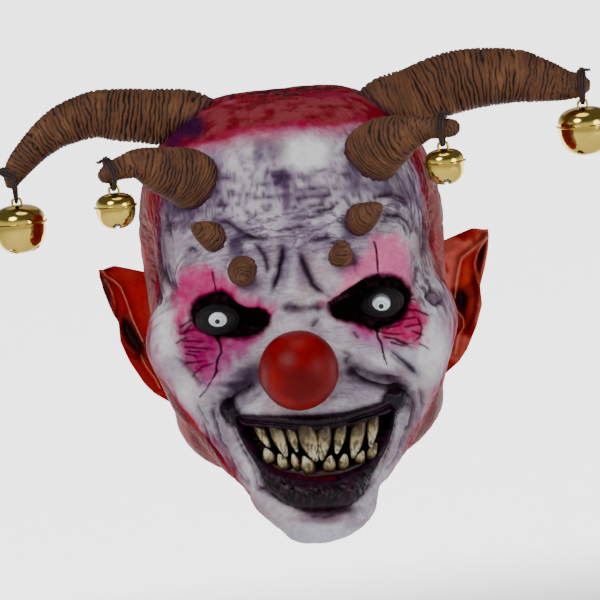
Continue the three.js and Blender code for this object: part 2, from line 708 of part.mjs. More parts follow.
function bellSolid(horn) {
  const { radius, height, bowl } = bellSizes(horn);
  const outer = cupProfile(radius, height, bowl, [-1, -0.9, -0.55, 0, 0.55, 0.9, 1]);
  const rim = [
    new THREE.Vector2(radius + BELL_RIM, -BELL_RIM / 2),
    new THREE.Vector2(radius + BELL_RIM, BELL_RIM / 2),
  ];
  const rimRoots = [new THREE.Vector2(radius, -BELL_RIM / 2), new THREE.Vector2(radius, BELL_RIM / 2)];
  outer.splice(3, 1, rimRoots[0], ...rim, rimRoots[1]);
  const inner = cupProfile(radius - BELL_WALL, height - BELL_WALL, bowl - BELL_WALL, [-1, -0.85, 0, 0.85, 1]);
  const outside = solidOf(new THREE.LatheGeometry(outer, 12).rotateX(Math.PI / 2));
  const inside = solidOf(new THREE.LatheGeometry(inner, 12).rotateX(Math.PI / 2));
  let solid = outside.subtract(inside);
  const holeAt = radius * 0.6;
  for (const turn of [0, 90]) {
    const slot = new THREE.BoxGeometry(2 * holeAt, BELL_SLOT, bowl);
    slot.translate(0, 0, -bowl).rotateZ(radians(turn + horn.turn));
    solid = solid.subtract(solidOf(slot));
    for (const end of [-1, 1]) {
      const hole = new THREE.CylinderGeometry(BELL_HOLE / 2, BELL_HOLE / 2, bowl * 0.9, 8);
      hole.rotateX(Math.PI / 2).translate(end * holeAt, 0, -bowl * 0.85);
      hole.rotateZ(radians(turn + horn.turn));
      solid = solid.subtract(solidOf(hole));
    }
  }
  const foot = height - BELL_WALL * 0.6;
  const wire = tubeAlong(
    [
      new THREE.Vector3(-EYE_HALF_WIDTH, 0, foot),
      new THREE.Vector3(-EYE_HALF_WIDTH, 0, height + EYE_RISE * 0.5),
      new THREE.Vector3(-EYE_HALF_WIDTH * 0.7, 0, height + EYE_RISE * 0.87),
      new THREE.Vector3(0, 0, height + EYE_RISE),
      new THREE.Vector3(EYE_HALF_WIDTH * 0.7, 0, height + EYE_RISE * 0.87),
      new THREE.Vector3(EYE_HALF_WIDTH, 0, height + EYE_RISE * 0.5),
      new THREE.Vector3(EYE_HALF_WIDTH, 0, foot),
    ],
    EYE_WIRE / 2,
    5,
    8,
  );
  return solid.add(wire);
}

// The tie's middle, and the flat stretch under it that the bell's eye hangs on
function tieOf(horn) {
  const section = hornSections(horn)[horn.tieRow];
  const level = new THREE.Vector3(section.axis.x, section.axis.y, 0).normalize();
  const across = new THREE.Vector3().crossVectors(new THREE.Vector3(0, 0, 1), level);
  const steepness = Math.max(Math.hypot(section.axis.x, section.axis.y), 0.55);
  const depth = section.radius / steepness + EYE_WIRE + 2 * CORD_CLEARANCE + SWING_ROOM + CORD / 2;
  const pivot = section.centre.clone().add(new THREE.Vector3(0, 0, -depth));
  return { section, across, depth, pivot };
}

function tieSolid(horn) {
  const { section, across, depth } = tieOf(horn);
  const cordRadius = CORD / 2;
  const round = (section.radius + cordRadius + CORD_CLEARANCE) * 1.05;
  const side = new THREE.Vector3().crossVectors(section.axis, new THREE.Vector3(0, 0, 1)).normalize();
  const upward = new THREE.Vector3().crossVectors(side, section.axis).normalize();
  const over = ringAt(section.centre, section.axis, round, 12).slice(0, 7);
  const at = (sideways, down) =>
    section.centre.clone().addScaledVector(side, sideways).add(new THREE.Vector3(0, 0, -down));
  const under = [
    at(-round, depth * 0.4),
    at(-round * 0.72, depth * 0.82),
    at(-TIE_FLAT, depth),
    at(TIE_FLAT, depth),
    at(round * 0.72, depth * 0.82),
    at(round, depth * 0.4),
  ];
  const loop = closedTube([...over, ...under], cordRadius, 5);
  const knotAt = section.centre.clone().addScaledVector(upward, round + KNOT_RADIUS * 0.4);
  const knot = solidOf(new THREE.SphereGeometry(KNOT_RADIUS, 6, 4).translate(...knotAt.toArray()));
  let solid = loop.add(knot);
  for (const spread of [-0.45, 0.45]) {
    const way = section.axis.clone().addScaledVector(upward, 0.5).addScaledVector(side, spread).normalize();
    const tailEnd = knotAt.clone().addScaledVector(way, TAIL_LENGTH);
    const tail = tubeAlong([knotAt, tailEnd], cordRadius * 0.8, 4, 1);
    solid = solid.add(tail);
  }
  return solid;
}

const mask = new THREE.Group();
const head = new THREE.Group();
mask.add(head);

const seatCutter = filledHead(SEAT_GAP);

function addHead() {
  const hollow = filledHead(-SKIN_WALL);
  let skin = hollowHead();
  for (const side of [-1, 1]) skin = skin.add(earSolid(side).subtract(hollow));
  for (const side of [-1, 1]) skin = skin.subtract(sightHole(side));
  head.add(meshOf("mask_skin", skin, LATEX_WHITE));
}

function addNose() {
  const ball = sphereSolid(NOSE_RADIUS, 18, 12);
  const start = new THREE.Vector3(NOSE_X, 0, NOSE_Z);
  const reach = reachAlong({ start, direction: new THREE.Vector3(0, -1, 0) }, 0);
  const centreY = -reach - NOSE_PROUD + NOSE_RADIUS;
  head.add(meshOf("nose_ball", ball.translate(NOSE_X, centreY, NOSE_Z).subtract(seatCutter), NOSE_RED));
}

function addEyes() {
  for (const [place, side] of [["left", -1], ["right", 1]]) {
    const start = new THREE.Vector3((side * EYE_SPACING) / 2, 0, 0);
    const reach = reachAlong({ start, direction: new THREE.Vector3(0, -1, 0) }, 0);
    const shape = [EYE_WIDTH / EYE_DEPTH, 1, EYE_HEIGHT / EYE_DEPTH];
    const eye = sphereSolid(EYE_DEPTH / 2, 14, 9).scale(shape).translate(start.x, -reach - EYE_PROUD + EYE_DEPTH / 2, 0);
    head.add(meshOf(`eye_${place}`, eye.subtract(seatCutter), EYE_GLOSS));
  }
}

function addTeeth() {
  const upperGum = (across) => MOUTH_TOP - UPPER_GUM_DROP + MOUTH_CORNER_LIFT * across * across;
  const lowerGum = (across) =>
    MOUTH_TOP - MOUTH_HEIGHT + LOWER_GUM_RISE + (MOUTH_HEIGHT * 0.3 + MOUTH_CORNER_LIFT) * across * across;
  const upper = teethSolid(UPPER_TEETH, upperGum, TOOTH_LENGTH, true).subtract(seatCutter);
  const lower = teethSolid(LOWER_TEETH, lowerGum, LOWER_TOOTH_LENGTH, false).subtract(seatCutter);
  head.add(meshOf("teeth_upper", largestBody(upper), TOOTH_IVORY));
  head.add(meshOf("teeth_lower", largestBody(lower), TOOTH_IVORY));
}

function addHorns() {
  for (const horn of HORNS) {
    const solid = hornSolid(hornSections(horn), horn.large ? 13 : 11).subtract(seatCutter);
    head.add(meshOf(`horn_${horn.place}`, solid, HORN_BROWN));
    head.add(meshOf(`tie_${horn.place}`, tieSolid(horn), CORD_DARK));
  }
  for (const spike of SPIKES) {
    head.add(meshOf(`spike_${spike.place}`, spikeSolid(spike).subtract(seatCutter), HORN_BROWN));
  }
}

function addBells() {
  for (const horn of HORNS) {
    const { radius, bowl, pivotAbove } = bellSizes(horn);
    const { across, pivot } = tieOf(horn);
    const hanging = new THREE.Group();
    hanging.position.copy(pivot);
    hanging.rotation.z = Math.atan2(across.y, across.x) - Math.PI / 2;
    const bell = meshOf(`bell_${horn.place}`, bellSolid(horn), BELL_GOLD);
    bell.position.z = -pivotAbove;
    const pelletRadius = radius * PELLET_SHARE;
    const pellet = meshOf(`pellet_${horn.place}`, sphereSolid(pelletRadius, 8, 5), PELLET_STEEL);
    pellet.position.z = -pivotAbove - bowl + BELL_WALL + pelletRadius + SEAT_GAP;
    hanging.add(bell, pellet);
    head.add(hanging);
  }
}

addHead();
addNose();
addEyes();
addTeeth();
addHorns();
addBells();

// The crown's inside is the part's origin
const crown = skinPoint(0, { crown: 0 }, -SKIN_WALL);
head.position.set(0, -crown.y, -crown.z);

export default mask;
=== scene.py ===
"""Horned jester mask: the finished look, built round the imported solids.

Lengths in the tables are millimetres above or beside the eye line, and places on the painted face are given on the
painter's sheet: the face as seen from the front, 600 units wide. Everything is turned into metres in the row frame.
"""

import logging
import math
from dataclasses import dataclass
from enum import Enum
from typing import Callable, Iterable, Sequence

import bmesh
import bpy
import numpy as np
from mathutils import Matrix, Vector


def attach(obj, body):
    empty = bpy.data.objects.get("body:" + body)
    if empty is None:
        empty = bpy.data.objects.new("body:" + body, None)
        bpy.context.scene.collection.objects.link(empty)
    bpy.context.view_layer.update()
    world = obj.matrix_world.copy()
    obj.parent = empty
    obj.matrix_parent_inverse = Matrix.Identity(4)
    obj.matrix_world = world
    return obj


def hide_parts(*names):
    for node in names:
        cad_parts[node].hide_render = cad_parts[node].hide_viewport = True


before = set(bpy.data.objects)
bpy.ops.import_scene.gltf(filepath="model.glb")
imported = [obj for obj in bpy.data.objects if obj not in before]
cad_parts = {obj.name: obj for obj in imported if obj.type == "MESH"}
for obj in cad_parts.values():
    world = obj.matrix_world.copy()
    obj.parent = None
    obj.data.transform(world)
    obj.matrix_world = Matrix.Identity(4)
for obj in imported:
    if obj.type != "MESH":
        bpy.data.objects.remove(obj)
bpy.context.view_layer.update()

logging.basicConfig(level=logging.INFO, format="%(message)s")
log = logging.getLogger("jester_mask")

Array = np.ndarray
Point2 = tuple[float, float]
Point3 = tuple[float, float, float]
Faces = list[list[int]]
Socket = bpy.types.NodeSocket

# The head's width, depth and height, and the place of the row frame's origin, from the middle of the eye line
HEAD = np.array((216.0, 240.0, 306.0))
CROWN_SEAT = np.array((0.0, 7.92, 141.39))
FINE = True


def to_row(points: Array) -> Array:
    """Turn millimetres from the eye line into metres in the row frame."""
    return (np.asarray(points, dtype=float) - CROWN_SEAT) / 1000.0


def unit(vectors: Array) -> Array:
    """Scale vectors to length one."""
    size = np.linalg.norm(vectors, axis=-1, keepdims=True)
    return vectors / np.maximum(size, 1e-9)


def ease(value: Array, low: float, high: float) -> Array:
    """Rise smoothly from 0 at low to 1 at high."""
    share = np.clip((np.asarray(value, dtype=float) - low) / (high - low), 0.0, 1.0)
    return share * share * (3.0 - 2.0 * share)


def tint(code: str) -> Array:
    """Give a hexadecimal screen colour as linear red, green and blue."""
    parts = np.array([int(code[i : i + 2], 16) for i in (0, 2, 4)]) / 255.0
    return np.where(parts <= 0.04045, parts / 12.92, ((parts + 0.055) / 1.055) ** 2.4)


def blend(base: Array, code: str, share: Array) -> Array:
    """Move colours towards a hexadecimal tint, by a share for each point."""
    return base + (tint(code) - base) * share[:, None]


def turned(spots: Array, turn: float, first: int) -> Array:
    """Turn places about one axis.

    Args:
        spots: N by 2 or N by 3 places.
        turn: angle in radians.
        first: the first of the two neighbouring columns that change.

    Returns:
        The turned places.
    """
    out = spots.copy()
    a, b = spots[:, first], spots[:, first + 1]
    out[:, first] = a * math.cos(turn) - b * math.sin(turn)
    out[:, first + 1] = a * math.sin(turn) + b * math.cos(turn)
    return out


def cloud(points: Array, size: float, seed: int = 0, layers: int = 3) -> Array:
    """Smooth random field in 0 to 1 over points.

    Args:
        points: N by 2 or N by 3 places.
        size: distance over which the coarsest layer changes.
        seed: picks another field.
        layers: how many ever finer layers are summed.

    Returns:
        One value for each point.
    """
    spots = np.atleast_2d(points) / size
    total = np.zeros(len(spots))
    weight = 0.0
    for layer in range(layers):
        turn = 0.6 + 1.1 * layer
        scaled = spots * 2.0**layer + 17.3 * layer
        for first in range(spots.shape[1] - 1):
            scaled = turned(scaled, turn, first)
        cell = np.floor(scaled).astype(np.int64)
        share = scaled - cell
        share = share * share * (3.0 - 2.0 * share)
        value = np.zeros(len(spots))
        for corner in range(2 ** spots.shape[1]):
            key = np.full(len(spots), seed * 7919 + layer * 104729, dtype=np.int64)
            part = np.ones(len(spots))
            for axis in range(spots.shape[1]):
                bit = (corner >> axis) & 1
                key = (key * 1103515245 + (cell[:, axis] + bit) * 40503 + 12345) & 0x7FFFFFFF
                part = part * (share[:, axis] if bit else 1.0 - share[:, axis])
            key = (key ^ (key >> 13)) * 1274126177 & 0x7FFFFFFF
            value += part * ((key ^ (key >> 16)) & 0xFFFF) / 65535.0
        total += value * 0.5**layer
        weight += 0.5**layer
    return total / weight


def along_line(points: Sequence[Point2], spots: Array) -> tuple[Array, Array]:
    """Distance from spots to an open line, and how far along the line the nearest place is.

    Args:
        points: the line's corners.
        spots: N by 2 places.

    Returns:
        The distance, and the share of the line's length from its start.
    """
    line = np.asarray(points, dtype=float)
    lengths = np.linalg.norm(np.diff(line, axis=0), axis=1)
    whole = max(lengths.sum(), 1e-9)
    best = np.full(len(spots), 1e9)
    share = np.zeros(len(spots))
    run = 0.0
    for start, end, length in zip(line[:-1], line[1:], lengths):
        side = end - start
        t = np.clip(((spots - start) @ side) / max(length * length, 1e-9), 0.0, 1.0)
        gap = np.linalg.norm(spots - start - t[:, None] * side, axis=1)
        nearer = gap < best
        best = np.where(nearer, gap, best)
        share = np.where(nearer, (run + t * length) / whole, share)
        run += length
    return best, share


def within(outline: Sequence[Point2], spots: Array) -> Array:
    """Find how far places lie inside a closed outline.

    Args:
        outline: the outline's corners.
        spots: N by 2 places.

    Returns:
        The distance to the outline, negative outside it.
    """
    ring = [*outline, outline[0]]
    gap, _ = along_line(ring, spots)
    inside = np.zeros(len(spots), dtype=bool)
    for (x1, y1), (x2, y2) in zip(ring[:-1], ring[1:]):
        crosses = (y1 > spots[:, 1]) != (y2 > spots[:, 1])
        run = (spots[:, 1] - y1) / ((y2 - y1) if y2 != y1 else 1e-9)
        inside ^= crosses & (spots[:, 0] < x1 + run * (x2 - x1))
    return np.where(inside, gap, -gap)


def smooth_line(points: Sequence[Sequence[float]], count: int) -> Array:
    """Run a smooth curve through points.

    Args:
        points: places on the curve, with any number of columns.
        count: how many places to give back.

    Returns:
        Even places along the curve.
    """
    knots = np.asarray(points, dtype=float)
    lengths = np.r_[0.0, np.cumsum(np.linalg.norm(np.diff(knots, axis=0), axis=1))]
    padded = np.vstack((2 * knots[0] - knots[1], knots, 2 * knots[-1] - knots[-2]))
    out = []
    for place in np.linspace(0.0, lengths[-1], count):
        i = min(int(np.searchsorted(lengths, place, side="right")) - 1, len(knots) - 2)
        t = (place - lengths[i]) / max(lengths[i + 1] - lengths[i], 1e-9)
        a, b, c, d = padded[i : i + 4]
        out.append(0.5 * (2 * b + (c - a) * t + (2 * a - 5 * b + 4 * c - d) * t * t + (3 * b - a - 3 * c + d) * t**3))
    return np.array(out)


# The painter's sheet


@dataclass(frozen=True)
class PaintersView:
    """Where the painter and the camera stand, and how large a unit of the sheet is at the target."""

    target: Point3 = (0.0, -100.0, 0.0)
    target_on_sheet: Point2 = (300.0, 313.0)
    elevation: float = 8.0
    roll: float = 6.0
    distance: float = 2500.0
    unit_mm: float = 0.68

    def axes(self) -> tuple[Array, Array, Array]:
        """Work out the sheet's directions.

        Returns:
            The directions to the right, up and into the sheet.
        """
        lift, lean = math.radians(self.elevation), math.radians(self.roll)
        level = np.array((1.0, 0.0, 0.0))
        upward = np.array((0.0, math.sin(lift), math.cos(lift)))
        right = level * math.cos(lean) - upward * math.sin(lean)
        up = upward * math.cos(lean) + level * math.sin(lean)
        return right, up, np.array((0.0, math.cos(lift), -math.sin(lift)))

    def eye(self) -> Array:
        """Work out the painter's place, with the sheet's middle straight ahead.

        Returns:
            The place in millimetres.
        """
        right, up, ahead = self.axes()
        across = (300.0 - self.target_on_sheet[0]) * self.unit_mm
        rise = (self.target_on_sheet[1] - 300.0) * self.unit_mm
        return np.array(self.target) + right * across + up * rise - ahead * self.distance

    def sheet(self, points: Array) -> Array:
        """Find where the painter sees points.

        Args:
            points: N by 3 places in millimetres.

        Returns:
            N by 2 places on the sheet.
        """
        right, up, ahead = self.axes()
        rays = points - self.eye()
        depth = rays @ ahead
        scale = self.distance / self.unit_mm / depth
        return np.stack((300.0 + (rays @ right) * scale, 300.0 - (rays @ up) * scale), axis=-1)

    def ray(self, place: Point2) -> tuple[Array, Array]:
        """Look through a place on the sheet.

        Args:
            place: the place on the sheet.

        Returns:
            The eye and the direction of the look.
        """
        right, up, ahead = self.axes()
        x, y = (place[0] - 300.0) * self.unit_mm, (300.0 - place[1]) * self.unit_mm
        return self.eye(), unit(ahead * self.distance + right * x + up * y)


VIEW = PaintersView()


# The head's form


@dataclass(frozen=True)
class Mass:
    """One rounded mass or hollow, its centre and radii as shares of the head, its blend of the head's width."""

    centre: Point3
    radii: Point3
    blend: float
    paired: bool = False


MASSES = (
    Mass((0.13, 0.058, 0.163), (0.37, 0.475, 0.307), 0.111, True),
    Mass((0, 0.108, -0.098), (0.458, 0.408, 0.288), 0.12),
    Mass((0, 0.117, -0.281), (0.444, 0.375, 0.17), 0.111),
    Mass((0, -0.133, -0.02), (0.398, 0.3, 0.34), 0.102),
    Mass((0.324, -0.208, -0.085), (0.148, 0.15, 0.098), 0.083, True),
    Mass((0.278, -0.192, -0.183), (0.162, 0.158, 0.111), 0.083, True),
    Mass((0, -0.2, -0.285), (0.332, 0.242, 0.17), 0.093),
    Mass((0, -0.258, -0.281), (0.259, 0.192, 0.15), 0.074),
    Mass((-0.008, -0.342, -0.44), (0.194, 0.133, 0.0945), 0.065),
    Mass((0.259, -0.345, 0.098), (0.116, 0.067, 0.042), 0.055, True),
    Mass((0.12, -0.395, 0.062), (0.097, 0.0625, 0.042), 0.055, True),
    Mass((0, -0.383, -0.026), (0.06, 0.071, 0.118), 0.055),
    Mass((0.204, -0.35, -0.124), (0.111, 0.092, 0.056), 0.055, True),
)
HOLLOWS = (
    Mass((0.222, -0.471, 0), (0.134, 0.092, 0.046), 0.037, True),
    Mass((0.537, -0.258, 0.131), (0.102, 0.192, 0.131), 0.083, True),
)


class HeadForm:
    """The head's smooth outside as a distance field, the same masses that the solids are built from."""

    def __init__(self) -> None:
        """Place each mass and hollow on its side or sides."""
        self.masses = list(self._placed(MASSES))
        self.hollows = list(self._placed(HOLLOWS))

    @staticmethod
    def _placed(forms: Iterable[Mass]) -> Iterable[tuple[Array, Array, float]]:
        """Place each form on its side or sides.

        Args:
            forms: rows of a table of masses or hollows.

        Yields:
            Centre, radii and blend in millimetres.
        """
        for form in forms:
            for side in (1, -1) if form.paired else (1,):
                centre = np.array(form.centre) * HEAD
                centre[0] *= side
                yield centre, np.array(form.radii) * HEAD, form.blend * HEAD[0]

    @staticmethod
    def _ellipsoid(points: Array, centre: Array, radii: Array) -> Array:
        """Estimate the distance to one ellipsoid.

        Args:
            points: places in millimetres.
            centre: the ellipsoid's centre.
            radii: its three radii.

        Returns:
            The distances, negative inside.
        """
        share = (points - centre) / radii
        length = np.linalg.norm(share, axis=-1)
        steep = np.linalg.norm(share / radii, axis=-1)
        return length * (length - 1.0) / np.maximum(steep, 1e-9)

    @staticmethod
    def _blend(a: Array, b: Array, reach: float) -> Array:
        """Smooth union of two distances."""
        overlap = np.maximum(reach - np.abs(a - b), 0.0) / reach
        return np.minimum(a, b) - overlap * overlap * reach * 0.25

    def distance(self, points: Array) -> Array:
        """Find how far points lie from the head's outside.

        Args:
            points: places in millimetres.

        Returns:
            The distances, positive outside.
        """
        total = None
        for centre, radii, reach in self.masses:
            own = self._ellipsoid(points, centre, radii)
            total = own if total is None else self._blend(total, own, reach)
        for centre, radii, reach in self.hollows:
            total = -self._blend(-total, self._ellipsoid(points, centre, radii), reach)
        return total

    def normal(self, points: Array) -> Array:
        """Find the outward directions at points.

        Args:
            points: N by 3 places in millimetres.

        Returns:
            One direction for each place.
        """
        step = 0.4
        here = self.distance(points)
        slopes = [self.distance(points + step * np.eye(3)[axis]) - here for axis in range(3)]
        return unit(np.stack(slopes, axis=-1))

    def reach(self, starts: Array, ways: Array, offset: float, guess: Array | None = None) -> Array:
        """How far out along rays the form lies.

        Args:
            starts: ray starts inside the head.
            ways: ray directions.
            offset: distance outside the form at which to stop, negative inside it.
            guess: a first estimate, or None to march from the start.

        Returns:
            One reach for each ray.
        """
        if guess is None:
            near = np.zeros(len(starts))
            going = np.ones(len(starts), dtype=bool)
            for _ in range(90):
                ahead = near + 3.0
                inside = self.distance(starts + ahead[:, None] * ways) < offset
                going &= inside
                near = np.where(going, ahead, near)
                if not going.any():
                    break
            guess = near + 1.5
        found = guess.copy()
        for _ in range(6):
            here = self.distance(starts + found[:, None] * ways) - offset
            next_one = self.distance(starts + (found[:, None] + 0.4) * ways) - offset
            slope = np.maximum((next_one - here) / 0.4, 0.25)
            found -= np.clip(here / slope, -6.0, 6.0)
        return found


FORM = HeadForm()


# Meshes and finishes


def add_mesh(name: str, points: Array, faces: Sequence[Sequence[int]], smooth: bool = True) -> bpy.types.Object:
    """Make an object from points in millimetres and faces.

    Args:
        name: the piece's name.
        points: N by 3 places from the eye line.
        faces: corner indices of each face.
        smooth: shade the faces smoothly.

    Returns:
        The new object, linked to the scene.
    """
    mesh = bpy.data.meshes.new(name)
    mesh.from_pydata(to_row(points).tolist(), [], [list(map(int, face)) for face in faces])
    mesh.validate()
    obj = bpy.data.objects.new(name, mesh)
    bpy.context.scene.collection.objects.link(obj)
    if smooth:
        mesh.polygons.foreach_set("use_smooth", [True] * len(mesh.polygons))
    mesh.update()
    return obj


def paint_points(obj: bpy.types.Object, name: str, colours: Array) -> None:
    """Store one colour for each point under a name that a finish reads.

    Args:
        obj: the piece.
        name: the stored layer's name.
        colours: N by 3 linear colours.
    """
    layer = obj.data.color_attributes.new(name, "FLOAT_COLOR", "POINT")
    rgba = np.ones((len(obj.data.vertices), 4))
    rgba[:, : colours.shape[1]] = colours
    layer.data.foreach_set("color", rgba.astype(np.float32).ravel())


def grid_faces(rows: int, columns: int, closed: bool = True, flip: bool = False, first: int = 0) -> Faces:
    """Join a grid of points into faces.

    Args:
        rows: how many rows the grid has.
        columns: how many points a row has.
        closed: whether the last column meets the first.
        flip: whether the faces look the other way.
        first: number of the grid's first point.

    Returns:
        The faces, row after row.
    """
    faces = []
    for r in range(rows - 1):
        for c in range(columns if closed else columns - 1):
            d = (c + 1) % columns
            ring = [first + r * columns + c, first + (r + 1) * columns + c, first + (r + 1) * columns + d]
            ring.append(first + r * columns + d)
            faces.append(ring[::-1] if flip else ring)
    return faces


def loft(rings: Array, ends: tuple[bool, bool] = (True, True)) -> tuple[Array, Faces]:
    """Join rings of equal count into a closed skin.

    Args:
        rings: R by C by 3 points.
        ends: whether the first and the last ring get a cap.

    Returns:
        Points and faces.
    """
    count, columns = rings.shape[:2]
    points = rings.reshape(-1, 3)
    faces = grid_faces(count, columns)
    for want, ring, order in ((ends[0], 0, 1), (ends[1], count - 1, -1)):
        if want:
            middle = len(points)
            points = np.vstack((points, rings[ring].mean(axis=0)))
            base = ring * columns
            for c in range(columns):
                trio = [middle, base + c, base + (c + 1) % columns]
                faces.append(trio[::order])
    return points, faces


def frames_along(line: Array) -> tuple[Array, Array, Array]:
    """Carry a square frame along a line without twist.

    Args:
        line: N by 3 places.

    Returns:
        The line's direction and two sides square to it at each place.
    """
    ahead = unit(np.gradient(line, axis=0))
    side = np.cross(ahead[0], (0.0, 0.0, 1.0))
    if np.linalg.norm(side) < 0.1:
        side = np.cross(ahead[0], (0.0, 1.0, 0.0))
    sides = []
    for way in ahead:
        side = unit(side - way * (side @ way))
        sides.append(side)
    sides = np.array(sides)
    return ahead, sides, np.cross(sides, ahead)


def tube(line: Array, radius: Array | float, around: int = 12) -> tuple[Array, Faces]:
    """Make a round tube along a line, capped at both ends.

    Args:
        line: N by 3 places.
        radius: one radius, or one for each place.
        around: how many sides the tube has.

    Returns:
        Points and faces.
    """
    _, side, up = frames_along(line)
    radii = np.broadcast_to(np.asarray(radius, dtype=float), (len(line),))
    turn = np.linspace(0.0, 2 * math.pi, around, endpoint=False)
    spokes = np.cos(turn)[None, :, None] * side[:, None] + np.sin(turn)[None, :, None] * up[:, None]
    return loft(line[:, None] + spokes * radii[:, None, None])


def merge(parts: Sequence[tuple[Array, Faces]]) -> tuple[Array, Faces]:
    """Put several sets of points and faces into one.

    Args:
        parts: the points and faces of each part.

    Returns:
        Points and faces of the whole.
    """
    points, faces = [], []
    for spots, rings in parts:
        shift = sum(len(p) for p in points)
        points.append(spots)
        faces.extend([[i + shift for i in ring] for ring in rings])
    return np.vstack(points), faces


class Sheet:
    """A material's node sheet, with short ways to add and join nodes."""

    def __init__(self, name: str) -> None:
        """Start a material with a principled shader."""
        self.material = bpy.data.materials.new(name)
        self.material.use_nodes = True
        self.tree = self.material.node_tree
        self.shader = self.tree.nodes["Principled BSDF"]

    def node(self, kind: str, **settings: object) -> bpy.types.Node:
        """Add a node.

        Args:
            kind: the node's type name.
            settings: its properties, or the values of its input sockets.

        Returns:
            The new node.
        """
        made = self.tree.nodes.new(kind)
        for key, value in settings.items():
            if hasattr(made, key):
                setattr(made, key, value)
            else:
                made.inputs[key.replace("_", " ")].default_value = value
        return made

    def join(self, out: Socket, into: Socket) -> None:
        """Link an output to an input."""
        self.tree.links.new(out, into)

    def set(self, **values: object) -> None:
        """Set constants straight on the shader's sockets."""
        for key, value in values.items():
            self.shader.inputs[key.replace("_", " ")].default_value = value

    def place(self, stretch: Point3 = (1.0, 1.0, 1.0)) -> Socket:
        """Read the object's own coordinates.

        Args:
            stretch: a factor for each axis.

        Returns:
            The stretched coordinates.
        """
        coordinates = self.node("ShaderNodeTexCoord")
        mapping = self.node("ShaderNodeMapping")
        mapping.inputs["Scale"].default_value = stretch
        self.join(coordinates.outputs["Object"], mapping.inputs["Vector"])
        return mapping.outputs["Vector"]

    def noise(self, scale: float, detail: float, stretch: Point3 = (1.0, 1.0, 1.0)) -> Socket:
        """Spread grain over the object.

        Args:
            scale: how fine the grain is.
            detail: how many finer layers it has.
            stretch: a factor for each axis.

        Returns:
            The grain, from 0 to 1.
        """
        grain = self.node("ShaderNodeTexNoise", Scale=scale, Detail=detail, Roughness=0.6)
        self.join(self.place(stretch), grain.inputs["Vector"])
        return grain.outputs["Fac"]

    def range(self, value: Socket, low: float, high: float, to_low: float, to_high: float) -> Socket:
        """Carry a value from one range into another.

        Args:
            value: the value.
            low: its low end.
            high: its high end.
            to_low: what the low end becomes.
            to_high: what the high end becomes.

        Returns:
            The new value.
        """
        change = self.node("ShaderNodeMapRange")
        for key, number in (("From Min", low), ("From Max", high), ("To Min", to_low), ("To Max", to_high)):
            change.inputs[key].default_value = number
        self.join(value, change.inputs["Value"])
        return change.outputs["Result"]

    def ramp(self, value: Socket, stops: Sequence[tuple[float, Point3]]) -> Socket:
        """Colour a value.

        Args:
            value: the value, from 0 to 1.
            stops: places between 0 and 1 with their colours.

        Returns:
            The colour.
        """
        ramp = self.node("ShaderNodeValToRGB")
        band = ramp.color_ramp
        while len(band.elements) < len(stops):
            band.elements.new(0.5)
        for element, (place, colour) in zip(band.elements, stops):
            element.position = place
            element.color = (*colour, 1.0)
        self.join(value, ramp.inputs["Fac"])
        return ramp.outputs["Color"]

    def mix(self, way: str, share: Socket | float, first: Socket | Point3, second: Socket | Point3) -> Socket:
        """Mix two colours.

        Args:
            way: how they are mixed.
            share: how much of the mix is laid on.
            first: the colour below.
            second: the colour above.

        Returns:
            The mixed colour.
        """
        mixer = self.node("ShaderNodeMix", data_type="RGBA", blend_type=way)
        for value, socket in ((share, mixer.inputs[0]), (first, mixer.inputs[6]), (second, mixer.inputs[7])):
            if isinstance(value, Socket):
                self.join(value, socket)
            elif isinstance(value, float):
                socket.default_value = value
            else:
                socket.default_value = (*value, 1.0)
        return mixer.outputs[2]

    def stored(self, name: str) -> Socket:
        """Read a colour stored on the mesh."""
        return self.node("ShaderNodeAttribute", attribute_name=name).outputs["Color"]

    def paint(self, name: str, depth: float = 1.25, strength: float = 1.3) -> Socket:
        """Read a paint stored on the mesh.

        Args:
            name: the stored layer's name.
            depth: how much it is deepened.
            strength: how much stronger its hue becomes.

        Returns:
            The paint's colour.
        """
        gamma = self.node("ShaderNodeGamma", Gamma=depth)
        self.join(self.stored(name), gamma.inputs["Color"])
        strong = self.node("ShaderNodeHueSaturation", Saturation=strength)
        self.join(gamma.outputs["Color"], strong.inputs["Color"])
        return strong.outputs["Color"]

    def channel(self, colour: Socket, which: str) -> Socket:
        """Take one channel of a colour.

        Args:
            colour: the colour.
            which: the channel's name.

        Returns:
            The channel's value.
        """
        split = self.node("ShaderNodeSeparateColor")
        self.join(colour, split.inputs[0])
        return split.outputs[which]

    def bump(self, height: Socket, strength: float, depth_mm: float, before: Socket | None = None) -> Socket:
        """Turn a height into a bent normal.

        Args:
            height: the height, from 0 to 1.
            strength: how much of it shows.
            depth_mm: its depth in millimetres.
            before: an earlier bump under this one.

        Returns:
            The bent normal.
        """
        bump = self.node("ShaderNodeBump")
        bump.inputs["Strength"].default_value = strength
        bump.inputs["Distance"].default_value = depth_mm / 1000.0
        self.join(height, bump.inputs["Height"])
        if before is not None:
            self.join(before, bump.inputs["Normal"])
        return bump.outputs["Normal"]

    def dress(
        self, colour: Socket, roughness: Socket | None = None, normal: Socket | None = None
    ) -> bpy.types.Material:
        """Link what was made to the shader.

        Args:
            colour: the surface's colour.
            roughness: its roughness, or None to leave it.
            normal: its bent normal, or None to leave it.

        Returns:
            The finished material.
        """
        for value, key in ((colour, "Base Color"), (roughness, "Roughness"), (normal, "Normal")):
            if value is not None:
                self.join(value, self.shader.inputs[key])
        return self.material


